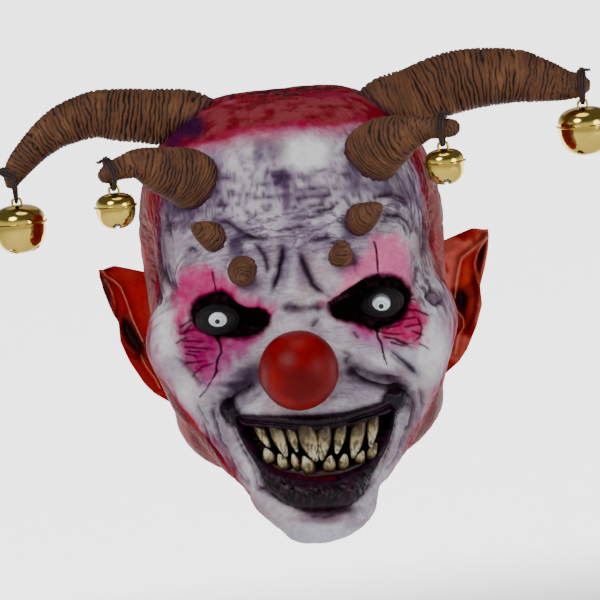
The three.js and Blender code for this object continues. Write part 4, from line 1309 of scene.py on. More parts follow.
class Airbrush:
    """Lays the painted colours over the skin."""

    def __init__(self, carving: Carving) -> None:
        """Keep the carving whose tables the paint follows."""
        self.carving = carving
        self.spots = carving.spots
        self.points = carving.points
        self.colour = np.tile(tint("cfc8d0"), (len(self.spots), 1))
        self.coat = np.full(len(self.spots), 0.25)

    def lay(self, colour: str | Array, share: Array) -> None:
        """Lay one colour over the paint.

        Args:
            colour: a hexadecimal tint, or N by 3 linear colours.
            share: how much of it covers each point.
        """
        tone = tint(colour) if isinstance(colour, str) else colour
        part = np.clip(share, 0.0, 1.0)[:, None]
        self.colour = self.colour * (1.0 - part) + tone * part

    def wash(self) -> None:
        """Mottled purple-grey wash over the white, heavier on the forehead."""
        x, z = self.points[:, 0], self.points[:, 2]
        broad = cloud(self.points, 34.0, 21, 3)
        fine = cloud(self.points, 9.0, 22, 4)
        rise = z + 0.9 * self.points[:, 1]
        stir = [size * (cloud(self.points, 15.0, seed, 2) - 0.5) for seed, size in ((28, 3.0), (29, 2.6))]
        crease = cloud(np.stack((x / 4.0 + stir[0], rise + stir[1]), axis=-1), 4.4, 23, 4)
        brow = ease(z, 25.0, 60.0) * (1.0 - ease(z, 95.0, 112.0))
        side = ease(np.abs(x), 62.0, 90.0)
        down = cloud(np.stack((self.points @ np.array((0.7, 0.7, 0.0)), z / 5.0), axis=-1), 4.0, 26, 4)
        thin = cloud(np.stack((x / 4.5 + stir[0], rise + stir[1]), axis=-1), 2.2, 27, 3)
        self.lay("9a8c9e", (0.2 + 0.55 * brow) * ease(broad, 0.34, 0.64))
        self.lay("75667c", (0.16 + 0.34 * brow) * ease(fine, 0.46, 0.76))
        self.lay("e9e7eb", 0.55 * ease(cloud(self.points, 12.0, 24, 3), 0.52, 0.74))
        self.lay("43344a", (0.2 + 0.42 * brow) * (1 - side) * ease(1.0 - np.abs(2 * crease - 1), 0.84, 0.99))
        self.lay("4c3c50", (0.14 + 0.3 * brow) * (1 - side) * ease(1.0 - np.abs(2 * thin - 1), 0.86, 0.99))
        cheek = ease(-z, 5.0, 30.0) * (1.0 - ease(-z, 75.0, 95.0))
        self.lay("4e3a4a", 0.8 * side * (1.0 - 0.85 * cheek) * ease(1.0 - np.abs(2 * down - 1), 0.74, 0.98))
        self.lay("a88f8c", 0.35 * (1 - brow) * ease(cloud(self.points, 22.0, 25, 3), 0.5, 0.7))

    def puffs(self, puffs: Sequence[Puff]) -> None:
        """Spray round puffs with ragged edges.

        Args:
            puffs: rows of a table, the lowest first.
        """
        ragged = 0.65 + 0.7 * cloud(self.spots, 7.0, 31, 3)
        for puff in puffs:
            gap = np.linalg.norm((self.spots - puff.centre) / puff.size, axis=1)
            cover = 1.2 * puff.strength * self.carving.front * (1.0 - ease(gap, 0.35, 1.35)) * ragged
            self.lay(puff.colour, cover)

    def patches(self) -> None:
        """Spray the pink round the eyes."""
        for patch in PATCHES:
            stir = (cloud(self.spots / (1.0, 2.2), 6.0, 41, 3) - 0.5) * 2 * patch.streaks
            gap = within(patch.outline, self.spots) + stir
            mottle = 0.82 + 0.3 * cloud(self.spots, 5.0, 42, 3)
            cover = patch.strength * self.carving.front * ease(gap, -patch.soft, patch.soft * 0.7) * mottle
            self.lay(patch.colour, cover)

    def grooves(self) -> None:
        """Painted shade in the carved lines, a dark core and a wider soft band, and dark strokes along the crow's feet.
        """
        waver = (cloud(self.spots, 7.0, 3) - 0.5)[:, None] * np.array((3.0, 3.0))
        for groove in GROOVES:
            gap, share = along_line(groove.course, self.spots + waver)
            taper = np.clip(5.0 * share, 0.2, 1.0) * np.clip(5.0 * (1.0 - share), 0.2, 1.0)
            # Painted shade: a dark core in each groove and a wider soft band round it
            for colour, strength, spread in (("20121a", 0.98, 0.85), ("5c4a5e", 0.6, 3.0)):
                thin = np.exp(-((gap / (spread * groove.width)) ** 2))
                self.lay(colour, strength * groove.wash * taper * thin * self.carving.front)
        for line in CROWS_FEET:
            gap, share = along_line(line, self.spots)
            taper = np.clip(4.0 * (1.0 - share), 0.15, 1.0)
            self.lay("35101c", 0.85 * taper * np.exp(-((gap / 0.95) ** 2)) * self.carving.front)

    def red(self) -> None:
        """Red over the crown, the temples, the neck and the back, with a streaky edge and a painted paler sheen over
        the upper head.
        """
        streak = cloud(self.points / (1.0, 1.0, 5.0), 5.0, 51, 3) - 0.5
        level = cloud(np.stack((self.spots[:, 0] / 5.0, self.spots[:, 1]), axis=-1), 6.0, 52, 3) - 0.5
        top = ease(self.points[:, 2], 85.0, 105.0)
        gap = within(WHITE_FACE, self.spots) + 11.0 * streak * (1 - top) + 8.0 * level * top
        outside = 1.0 - ease(gap, -4.0 - 4.0 * top, 4.5)
        below = ease(-self.points[:, 2], 152.0, 162.0) * ease(self.points[:, 1], -78.0, -66.0)
        behind = np.maximum(ease(self.points[:, 1], -52.0, -30.0), below)
        share = np.maximum(outside, behind)
        self.lay("b8607e", 0.8 * (1.0 - ease(gap, -3.0, 11.0 + 8.0 * top)) * np.maximum(top, 0.55))
        tone = cloud(np.stack((self.points[:, 0], self.points[:, 1], self.points[:, 2] / 3.0), axis=-1), 9.0, 53, 4)
        base = blend(tint("801620"), "a42c32", ease(tone, 0.35, 0.75))
        self.lay(blend(base, "5a1420", 0.4 * ease(1.0 - tone, 0.52, 0.8)), share)
        crown = ease(self.points[:, 2], 137.0, 143.5)
        hair = cloud(np.stack((self.points[:, 0], self.points[:, 1] / 6.0), axis=-1), 3.0, 54, 3)
        self.lay("4a2830", 0.8 * crown * share)
        self.lay("b0646a", 0.7 * crown * share * ease(hair, 0.46, 0.7))
        # Painted sheen: paler pinkish grey over the red on the upper head, below the crown's top
        self.lay("9c7478", (0.35 + 0.4 * ease(tone, 0.3, 0.6)) * top * (1 - crown) * share)
        self.coat += 0.25 * share

    def eyes(self) -> None:
        """Blackish brown in the sockets."""
        for gap in self.carving.sockets:
            ragged = gap + 2.4 * (cloud(self.spots, 4.0, 61, 3) - 0.5)
            self.lay("7a2440", 0.6 * ease(ragged, -5.0, 0.0))
            self.lay("20151a", ease(ragged, -2.0, 2.2))
            worn = ease(cloud(self.spots, 4.0, 62, 3), 0.45, 0.7)
            self.lay("4a3840", 0.6 * ease(ragged, 1.0, 6.0) * worn)
            self.coat = np.maximum(self.coat, 0.2 * ease(ragged, 0.0, 4.0))

    def lips(self) -> None:
        """Wet dark purple lips, black hollow and reddish gum line."""
        out = self.carving.lip_out + 1.2 * (cloud(self.spots, 3.5, 71, 3) - 0.5)
        inside = self.carving.lip_in
        streak = cloud(self.spots / (1.1, 1.3), 5.5, 15, 3)
        tone = blend(tint("1a0c16"), "3e2638", ease(streak, 0.35, 0.75))
        tone = blend(tone, "3c2a40", 0.35 * np.exp(-(((inside + 3.0) / 2.5) ** 2)))
        self.lay("3c2a34", 0.55 * ease(out, -4.0, 0.0))
        self.lay(tone, ease(out, -0.6, 0.9))
        for centre in LIP_CORNERS:
            gap = np.linalg.norm(self.spots - centre, axis=1)
            self.lay("281a2c", 0.9 * (1.0 - ease(gap, 6.5, CORNER_RADIUS)) * self.carving.seen)
        self.lay("050304", ease(inside, 0.5, 3.5))
        gum = np.exp(-(((inside - 1.2) / 1.3) ** 2)) * ease(self.spots[:, 1], 455.0, 468.0)
        self.lay("7d3a42", 0.85 * gum * ease(cloud(self.spots, 9.0, 73, 2), 0.3, 0.6))
        wet = 0.85 * ease(out, 0.0, 1.5) * (1.0 - 0.6 * ease(inside, 1.0, 4.0))
        self.coat = np.maximum(self.coat, wet)

    def lines(self) -> None:
        """Thin black lines through the eyes."""
        stir = (cloud(self.spots, 6.0, 81) - 0.5)[:, None] * np.array((1.6, 0.0))
        for line in BRUSHLINES:
            gap, share = along_line(line.course, self.spots + stir)
            half = line.width * np.clip(6.0 * (1.0 - share), 0.35, 1.0)
            cover = line.strength * (1.0 - ease(gap, half * 0.6, half * 1.5))
            self.lay(line.colour, cover * self.carving.front)

    def spray(self) -> tuple[Array, Array]:
        """Run the whole scheme in the painter's order.

        Returns:
            N by 3 colours, and how wet each point looks, three times over.
        """
        self.wash()
        self.puffs(HIGHLIGHTS)
        self.puffs(PUFFS)
        self.patches()
        self.red()
        # Painted shade round the horns' feet and a painted sheen on the crown
        self.puffs(HORN_FOOT_SHADE_AND_CROWN_SHEEN)
        self.grooves()
        self.eyes()
        self.lips()
        self.lines()
        return np.clip(self.colour, 0.0, 1.0), np.stack((self.coat,) * 3, axis=-1)


# The skin


class SkinGrid:
    """The skin's rays, row by row and column by column, from the head's inner axis."""

    def __init__(self, share: int) -> None:
        """Lay out the rows and columns.

        Args:
            share: 1 for the fine grid, 2 or more for a coarser one.
        """
        crown = [("crown", a) for a in (0.3, *np.linspace(1.5, 89.0, 54 // share))]
        face = [("face", s) for s in np.linspace(0.0, 1.0, 246 // share)]
        chin = [("chin", s) for s in np.linspace(0.0, 1.0, 90 // share + 1)[1:]]
        self.rows = crown + face + chin
        while (len(self.rows) - 1) % 3:
            self.rows.pop(1)
        back, front = 48 // share // 3 * 3, 378 // share // 3 * 3
        turns = (np.linspace(-180, -70, back, endpoint=False), np.linspace(-70, 70, front, endpoint=False))
        self.azimuths = np.radians(np.concatenate((*turns, np.linspace(70, 180, back, endpoint=False))))
        self.back = back
        self.front = front

    def rays(self) -> tuple[Array, Array]:
        """Work out the rays.

        Returns:
            Their starts in millimetres and their directions, rows by columns by 3.
        """
        azimuth = self.azimuths
        front = np.cos(azimuth / 2.0) ** 4
        bottom = np.stack((0 * front, (0.092 - 0.217 * front) * HEAD[1], -(0.261 + 0.072 * front) * HEAD[2]), axis=-1)
        top = np.array((0.0, 0.033 * HEAD[1], 0.229 * HEAD[2]))
        starts, ways = [], []
        for kind, value in self.rows:
            lift = np.zeros_like(azimuth)
            start = np.broadcast_to(top, bottom.shape)
            if kind == "crown":
                lift = lift + math.radians(90.0 - value)
            elif kind == "face":
                start = top + (bottom - top) * value
            else:
                start = bottom
                lift = -np.radians(30.0 + 44.0 * front**1.5) * value
            level = np.cos(lift)
            starts.append(start)
            ways.append(np.stack((level * np.sin(azimuth), -level * np.cos(azimuth), np.sin(lift)), axis=-1))
        return np.array(starts), np.array(ways)


def slice_faces(rows: range, columns: Sequence[int], width: int, keep: Array | None = None) -> Faces:
    """Faces of part of a large grid.

    Args:
        rows: row numbers, one face row between each two.
        columns: column numbers in order; one face column between each two.
        width: how many columns the whole grid has.
        keep: for each face of the whole grid, whether it stays.

    Returns:
        Corner numbers in the whole grid.
    """
    faces = []
    for r, s in zip(rows[:-1], rows[1:]):
        for c, d in zip(columns[:-1], columns[1:]):
            if keep is None or keep[r, c]:
                faces.append([r * width + c, s * width + c, s * width + d, r * width + d])
    return faces


@dataclass
class SkinShell:
    """The latex skin: carved outside, lining, cut neck edge and sight holes, in millimetres and degrees."""

    finishes: Finishes
    wall: float = 2.6
    sight_out: float = 32.0
    sight_half_width: float = 11.0
    sight_half_height: float = 6.5
    sight_slant: float = 22.0

    def __post_init__(self) -> None:
        """Shape and paint the skin."""
        self.grid = SkinGrid(1 if FINE else 3)
        starts, ways = self.grid.rays()
        self.shape = starts.shape[:2]
        flat_starts, flat_ways = starts.reshape(-1, 3), ways.reshape(-1, 3)
        reach = FORM.reach(flat_starts, flat_ways, 0.0, self._guess(starts, ways))
        self.base = flat_starts + reach[:, None] * flat_ways
        self.normals = FORM.normal(self.base)
        self.outside = self.base
        for _ in range(2):
            carving = Carving(VIEW.sheet(self.outside), self.base, self.normals)
            relief = carving.lips() + carving.folds() + carving.wrinkles() + carving.sockets_dent()
            relief = relief + carving.temples()
            self.outside = self.base + self.normals * relief[:, None] - flat_ways * carving.mouth()[:, None]
        self.colours, self.coat = Airbrush(carving).spray()

    def _guess(self, starts: Array, ways: Array) -> Array:
        """Estimate the reach of every ray from every twelfth one.

        Args:
            starts: the rays' starts.
            ways: the rays' directions.

        Returns:
            One reach for each ray.
        """
        rows, columns = (np.unique(np.r_[np.arange(0, size, 12), size - 1]) for size in self.shape)
        picked = np.ix_(rows, columns)
        found = FORM.reach(starts[picked].reshape(-1, 3), ways[picked].reshape(-1, 3), 0.0).reshape(len(rows), -1)
        across = np.array([np.interp(np.arange(self.shape[1]), columns, line) for line in found])
        down = np.array([np.interp(np.arange(self.shape[0]), rows, line) for line in across.T])
        return down.T.reshape(-1)

    def _sight(self, points: Array) -> Array:
        """Find how far points lie from the sight holes, seen from the front.

        Args:
            points: N by 3 places in millimetres.

        Returns:
            A value below 1 inside a hole.
        """
        best = np.full(len(points), 9.0)
        for side in (-1, 1):
            x, z = points[:, 0] - side * self.sight_out, points[:, 2]
            turn = side * math.radians(self.sight_slant)
            along, up = x * math.cos(turn) + z * math.sin(turn), z * math.cos(turn) - x * math.sin(turn)
            best = np.minimum(best, np.hypot(along / self.sight_half_width, up / self.sight_half_height))
        return np.where(points[:, 1] < 0, best, 9.0)

    def _piece(
        self, name: str, points: Array, faces: Faces, paints: tuple[Array, Array], normals: Array | None = None
    ) -> bpy.types.Object:
        """Make one piece from some faces of a larger grid.

        Args:
            name: the piece's name.
            points: all the grid's points.
            faces: the piece's own faces.
            paints: all the grid's colours and coats.
            normals: all the grid's normals, or None for the faces' own.

        Returns:
            The new piece.
        """
        used = np.unique(np.array([i for face in faces for i in face]))
        place = np.full(len(points), -1)
        place[used] = np.arange(len(used))
        obj = add_mesh(name, points[used], [[place[i] for i in face] for face in faces])
        paint_points(obj, "paint", paints[0][used])
        paint_points(obj, "coat", paints[1][used])
        if normals is not None:
            obj.data.normals_split_custom_set_from_vertices(normals[used].tolist())
        obj.data.materials.append(self.finishes.latex)
        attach(obj, "mask")
        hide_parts("mask_skin")
        return obj

    def _shading(self) -> Array:
        """Work out the normals of the carved outside.

        Returns:
            One normal for each point.
        """
        grid = self.outside.reshape(*self.shape, 3)
        down = np.gradient(grid, axis=0)
        across = np.roll(grid, -1, axis=1) - np.roll(grid, 1, axis=1)
        return unit(np.cross(down, across)).reshape(-1, 3)

    def build(self) -> list[bpy.types.Object]:
        """Make the outer pieces and the lining.

        Returns:
            The pieces.
        """
        count, width = self.shape
        grid = self.outside.reshape(count, width, 3)
        centres = (grid + np.roll(grid, (-1, -1), (0, 1))) / 2
        keep = (self._sight(centres.reshape(-1, 3)) > 1.0).reshape(count, width)
        first, last = self.grid.back, self.grid.back + self.grid.front
        waist = (count // 2) // 3 * 3
        front = range(first, last + 1)
        behind = [*range(last, width), *range(0, first + 1)]
        crown = [list(range(width))[::-1]]
        normals = self._shading()
        areas = (
            ("mask_skin_face_upper", slice_faces(range(waist + 1), front, width, keep)),
            ("mask_skin_face_lower", slice_faces(range(waist, count), front, width, keep)),
            ("mask_skin_back", crown + slice_faces(range(count), behind, width, keep)),
        )
        paints = (self.colours, self.coat)
        made = [self._piece(name, self.outside, faces, paints, normals) for name, faces in areas]
        return [*made, self._lining()]

    def _lining(self) -> bpy.types.Object:
        """Make the inside, the cut edge round the neck and the edges of the sight holes.

        Returns:
            The lining.
        """
        count, width = self.shape
        inner = self.outside - self.normals * self.wall
        points = np.vstack((self.outside, inner))
        shift = count * width
        rows, columns = range(0, count, 3), [*range(0, width, 3), 0]
        kept = (self._sight(inner) > 1.08).reshape(count, width)
        faces = [[i + shift for i in face[::-1]] for face in slice_faces(rows, columns, width, kept)]
        faces.append([c + shift for c in columns[:-1]])
        rim = (count - 1) * width
        for c, d in zip(columns[:-1], columns[1:]):
            outer = [rim + c, rim + c + 1, rim + c + 2, rim + d]
            faces.append([rim + c + shift, *outer, rim + d + shift][::-1])
        points, faces = self._collars(points, faces)
        # Painted shade: the inside turns near black round the sight holes, so that they look dark
        colours = blend(tint("4c3e3a"), "060505", 1.0 - ease(self._sight(points), 2.5, 6.0))
        colours[rim : rim + width] = self.colours[rim : rim + width]
        colours = colours * (0.8 + 0.35 * cloud(points, 18.0, 91, 3)[:, None])
        coat = np.full((len(points), 3), 0.1)
        return self._piece("mask_skin_lining", points, faces, (colours, coat))

    def _collars(self, points: Array, faces: Faces) -> tuple[Array, Faces]:
        """Line each sight hole's edge through the wall.

        Args:
            points: the lining's points so far.
            faces: its faces so far.

        Returns:
            Points and faces with the edges added.
        """
        turns = np.linspace(0.0, 2 * math.pi, 48, endpoint=False)
        along, up = self.sight_half_width * np.cos(turns), self.sight_half_height * np.sin(turns)
        for side in (-1, 1):
            lean = side * math.radians(self.sight_slant)
            x = side * self.sight_out + along * math.cos(lean) - up * math.sin(lean)
            z = along * math.sin(lean) + up * math.cos(lean)
            starts = np.stack((x, 0 * x, z), axis=-1)
            reach = FORM.reach(starts, np.broadcast_to((0.0, -1.0, 0.0), starts.shape), 0.0)
            depths = (2.6, 5.4, 8.2)
            rings = [starts - np.array((0.0, 1.0, 0.0)) * (reach - depth)[:, None] for depth in depths]
            points, faces = merge([(points, faces), loft(np.array(rings), (False, False))])
        return points, faces


def seat(points: Array, sink: float = 1.2) -> Array:
    """Pull points that lie deep in the head back up to just under its outside.

    Args:
        points: N by 3 places in millimetres.
        sink: how deep they may lie.

    Returns:
        The moved points.
    """
    for _ in range(3):
        gap = FORM.distance(points)
        deep = np.minimum(gap + sink, 0.0)
        points = points - FORM.normal(points) * deep[:, None]
    return points


# Ears


@dataclass(frozen=True)
class EarCut:
    """One level cut of an ear: height and reach as shares, root and rim place, and the middle's bow."""

    up: float
    reach: float
    root: float
    rim: float
    bow: float


EAR_CUTS = (
    EarCut(0.0, -0.1, 0.0, 0.03, 0.05),
    EarCut(0.07, 0.24, 0.0, 0.05, 0.12),
    EarCut(0.14, 0.46, -0.01, 0.08, 0.2),
    EarCut(0.28, 0.74, -0.02, 0.13, 0.3),
    EarCut(0.42, 0.93, -0.02, 0.165, 0.36),
    EarCut(0.55, 0.93, -0.01, 0.18, 0.38),
    EarCut(0.68, 1.08, 0.0, 0.185, 0.34),
    EarCut(0.8, 1.18, 0.02, 0.185, 0.28),
    EarCut(0.91, 1.22, 0.05, 0.18, 0.2),
    EarCut(1.0, 1.2, 0.12, 0.178, 0.06),
)


@dataclass(frozen=True)
class EarMarks:
    """Ridges, hollow bowl, hole and dark strip of one ear, on the painter's sheet, and its base colour, painted paler
    on the right ear as if more brightly lit.
    """

    ridges: tuple[tuple[Point2, ...], ...]
    bowl: tuple[Point2, ...]
    hole: tuple[Point2, ...]
    strip: tuple[Point2, ...]
    tone: str


EAR_MARKS = {
    -1: EarMarks(
        (
            ((101, 267), (106, 275), (115, 281), (121, 287), (126, 300), (133, 320), (143, 341)),
            ((106, 280), (112, 293), (115, 305), (114, 317)),
            ((141, 356), (146, 366), (155, 378), (160, 388)),
        ),
        ((103, 274), (118, 286), (124, 294), (128, 306), (134, 322), (143, 342), (146, 354), (140, 361), (128, 357),
         (118, 346), (112, 334), (113, 318), (112, 304), (107, 290)),
        ((123, 318), (131, 325), (140, 340), (144, 348), (141, 358), (135, 353), (126, 343), (121, 330)),
        ((101, 272), (108, 284), (112, 296), (112, 312), (106, 302), (99, 284)),
        "a45050",
    ),
    1: EarMarks(
        (
            ((486, 236), (476, 246), (467, 253), (461, 258), (458, 270), (456, 283), (455, 298)),
            ((486, 237), (479, 250), (475, 263), (476, 276), (478, 283)),
            ((455, 308), (463, 318), (464, 326), (458, 336), (455, 352)),
        ),
        ((487, 242), (477, 250), (468, 256), (461, 262), (459, 276), (456, 292), (456, 308), (463, 320), (464, 334),
         (470, 330), (477, 314), (479, 298), (477, 280), (482, 262)),
        ((455, 293), (463, 291), (468, 298), (466, 308), (464, 316), (458, 310), (454, 302)),
        ((486, 240), (484, 258), (480, 275), (477, 270), (478, 256), (482, 246)),
        # Painted light: the right ear's base colour is much paler than the left's
        "d4928c",
    ),
}


class Ear:
    """One pointed ear with folded rim and dark hollow."""

    def __init__(self, finishes: Finishes, side: int) -> None:
        """Keep the side, -1 for the viewer's left."""
        self.finishes = finishes
        self.side = side

    def _outline(self, count: int) -> list[EarCut]:
        """Smooth the cuts over the ear's height."""
        table = np.array([(c.up, c.reach, c.root, c.rim, c.bow) for c in EAR_CUTS])
        ups = np.linspace(0.0, 1.0, count)
        columns = [np.interp(ups, table[:, 0], table[:, k]) for k in range(5)]
        kernel = np.array((1, 3, 4, 3, 1)) / 12.0
        smooth = [columns[0]] + [np.convolve(np.pad(c, 2, mode="edge"), kernel, mode="valid") for c in columns[1:]]
        return [EarCut(*values) for values in zip(*smooth)]

    def build(self) -> bpy.types.Object:
        """Make the ear."""
        count, across = (150, 70) if FINE else (40, 20)
        rings = []
        for cut in self._outline(count):
            z = 30.0 - 100.0 * (1.0 - cut.up)
            root = np.array((0.465 * 216.0 - 13.0, cut.root * 240.0))
            rim = np.array((0.465 * 216.0 + 32.0 * cut.reach, cut.rim * 240.0))
            way = unit(rim - root)
            back = np.array((-way[1], way[0]))
            middle = root + 0.55 * (rim - root) + back * cut.bow * 32.0
            share = np.linspace(0.0, 1.0, across)[:, None]
            front = (1 - share) ** 2 * root + 2 * share * (1 - share) * middle + share**2 * rim
            thick = 4.6 * (1.0 - 0.35 * share**3)
            rear = front + back * thick
            roll = np.linspace(0.0, math.pi, 9)[1:-1, None]
            tip = (front[-1] + rear[-1]) / 2
            bend = tip + (front[-1] - tip) * np.cos(roll) + way * 2.2 * np.sin(roll)
            ring = np.vstack((front, bend, rear[::-1]))
            out = (ring - root) @ way / np.linalg.norm(rim - root)
            fall = 15.0 * ease(cut.up, 0.45, 1.0) * (1.0 - out) + 5.0 * ease(cut.up, 0.86, 1.0) * ease(out, 0.8, 1.05)
            rings.append(np.column_stack((self.side * ring[:, 0], ring[:, 1], z - fall)))
        rings = np.array(rings)
        rings = np.concatenate((rings, rings[-1:] * 0.15 + rings[-1:].mean(axis=1, keepdims=True) * 0.85))
        rings[-1, :, 2] += 1.0
        if self.side > 0:
            rings = rings[:, ::-1]
        points, faces = loft(rings)
        points, colours, coat = self._carve(points)
        obj = add_mesh(f"ear_{'left' if self.side < 0 else 'right'}", points, faces)
        paint_points(obj, "paint", colours)
        paint_points(obj, "coat", coat)
        obj.data.materials.append(self.finishes.latex)
        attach(obj, "mask")
        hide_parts("mask_skin")
        return obj

    def _carve(self, points: Array) -> tuple[Array, Array, Array]:
        """Carve and paint the ear's folds, with painted highlights on the ridges and in the bowl, and painted shade
        beside the ridges, in the hole and in the strip.
        """
        marks = EAR_MARKS[self.side]
        spots = VIEW.sheet(points)
        shift = np.zeros(len(points))
        tone = cloud(points, 16.0, 101, 3)
        base = tint(marks.tone) + (tint("9c4244") - tint(marks.tone)) * ease(tone, 0.5, 0.75)[:, None]
        base = base + (tint("bc7474") - base) * (0.6 * ease(1 - tone, 0.5, 0.75))[:, None]
        bowl = within(marks.bowl, spots)
        shift -= 6.0 * ease(bowl, -1.0, 4.5)
        # Painted light: the bowl is paler
        base = base + (tint("b45858") - base) * (0.45 * ease(bowl, 0.0, 3.0))[:, None]
        hole = within(marks.hole, spots)
        strip = within(marks.strip, spots)
        shift -= 5.0 * ease(hole, -2.0, 5.0) + 3.0 * ease(strip, -1.0, 3.0)
        # Painted shade: near black in and round the hole, dark red in the strip
        base = base + (tint("5a1014") - base) * (0.7 * ease(hole, -9.0, 0.0))[:, None]
        base = base + (tint("1e0608") - base) * (0.95 * ease(hole, -2.5, 4.0))[:, None]
        base = base + (tint("4a1216") - base) * (0.85 * ease(strip, -1.5, 2.0))[:, None]
        for k, ridge in enumerate(marks.ridges):
            gap, _ = along_line(ridge, spots)
            shift += (2.6 if k < 2 else 1.6) * np.exp(-((gap / 2.0) ** 2))
            # Painted highlight: a pale line along each ridge; painted shade: a dark band beside it
            base = base + (tint("d0a89a") - base) * (0.75 * np.exp(-((gap / 0.6) ** 2)))[:, None]
            base = base + (tint("5c1414") - base) * (0.35 * np.exp(-(((gap - 3.5) / 2.2) ** 2)))[:, None]
        moved = points + np.array((0.0, -1.0, 0.0)) * shift[:, None] * 0.9
        return moved, np.clip(base, 0, 1), np.full((len(points), 3), 0.5)


# Horns and spikes


@dataclass(frozen=True)
class HornLook:
    """One horn: side, foot as shares of the head, centreline rows (out, up, forward, girth), sizes and tie row."""

    place: str
    side: int
    foot: Point3
    rows: tuple[tuple[float, float, float, float], ...]
    reach: float
    radius: float
    tie_row: int
    large: bool
    slot_turn: float

    def centres(self) -> Array:
        """Centreline places in millimetres."""
        foot = np.array(self.foot) * HEAD * (self.side, 1, 1)
        return np.array([foot + np.array((self.side * o, -f, u)) * self.reach for o, u, f, _ in self.rows])

    def axes(self) -> Array:
        """Direction at each row."""
        line = self.centres()
        ends = np.vstack((line[1:], line[-1:])) - np.vstack((line[:1], line[:-1]))
        return unit(ends)


HORN_LOOKS = (
    HornLook(
        "top_left", -1, (0.3, 0.033, 0.423),
        ((0, 0, 0, 1), (0.19, 0.037, 0, 0.9), (0.34, 0.062, 0, 0.86), (0.465, 0.075, 0, 0.77), (0.628, 0.037, 0, 0.67),
         (0.757, -0.042, 0, 0.54), (0.852, -0.125, 0, 0.45), (0.9, -0.19, 0, 0.35), (0.92, -0.25, 0, 0.16)),
        140.0, 21.5, 7, True, -25.0,
    ),
    HornLook(
        "top_right", 1, (0.34, 0.033, 0.4),
        ((0, 0, 0, 1), (0.168, 0.045, 0, 1.02), (0.299, 0.087, 0, 1.02), (0.428, 0.105, 0, 1), (0.556, 0.107, 0, 0.95),
         (0.678, 0.098, 0, 0.88), (0.795, 0.065, 0, 0.73), (0.919, 0.027, 0, 0.52), (1.0, 0.018, 0, 0.38),
         (1.045, 0.012, 0, 0.17)),
        140.0, 21.5, 8, True, -25.0,
    ),
    HornLook(
        "side_left", -1, (0.304, -0.3, 0.314),
        ((0, 0, 0, 1), (0.288, 0.148, 0.176, 0.82), (0.559, 0.272, 0.316, 0.56), (0.75, 0.262, 0.369, 0.42),
         (0.898, 0.223, 0.404, 0.35), (1, 0.174, 0.422, 0.27), (1.05, 0.145, 0.43, 0.12)),
        57.0, 20.0, 4, False, -12.0,
    ),
    HornLook(
        "side_right", 1, (0.287, -0.292, 0.329),
        ((0, 0, 0, 1.03), (0.267, 0.158, 0.211, 0.82), (0.425, 0.214, 0.316, 0.62), (0.645, 0.271, 0.387, 0.43),
         (0.81, 0.253, 0.422, 0.36), (0.97, 0.238, 0.439, 0.28), (1.03, 0.23, 0.445, 0.12)),
        57.0, 20.0, 4, False, 9.0,
    ),
)


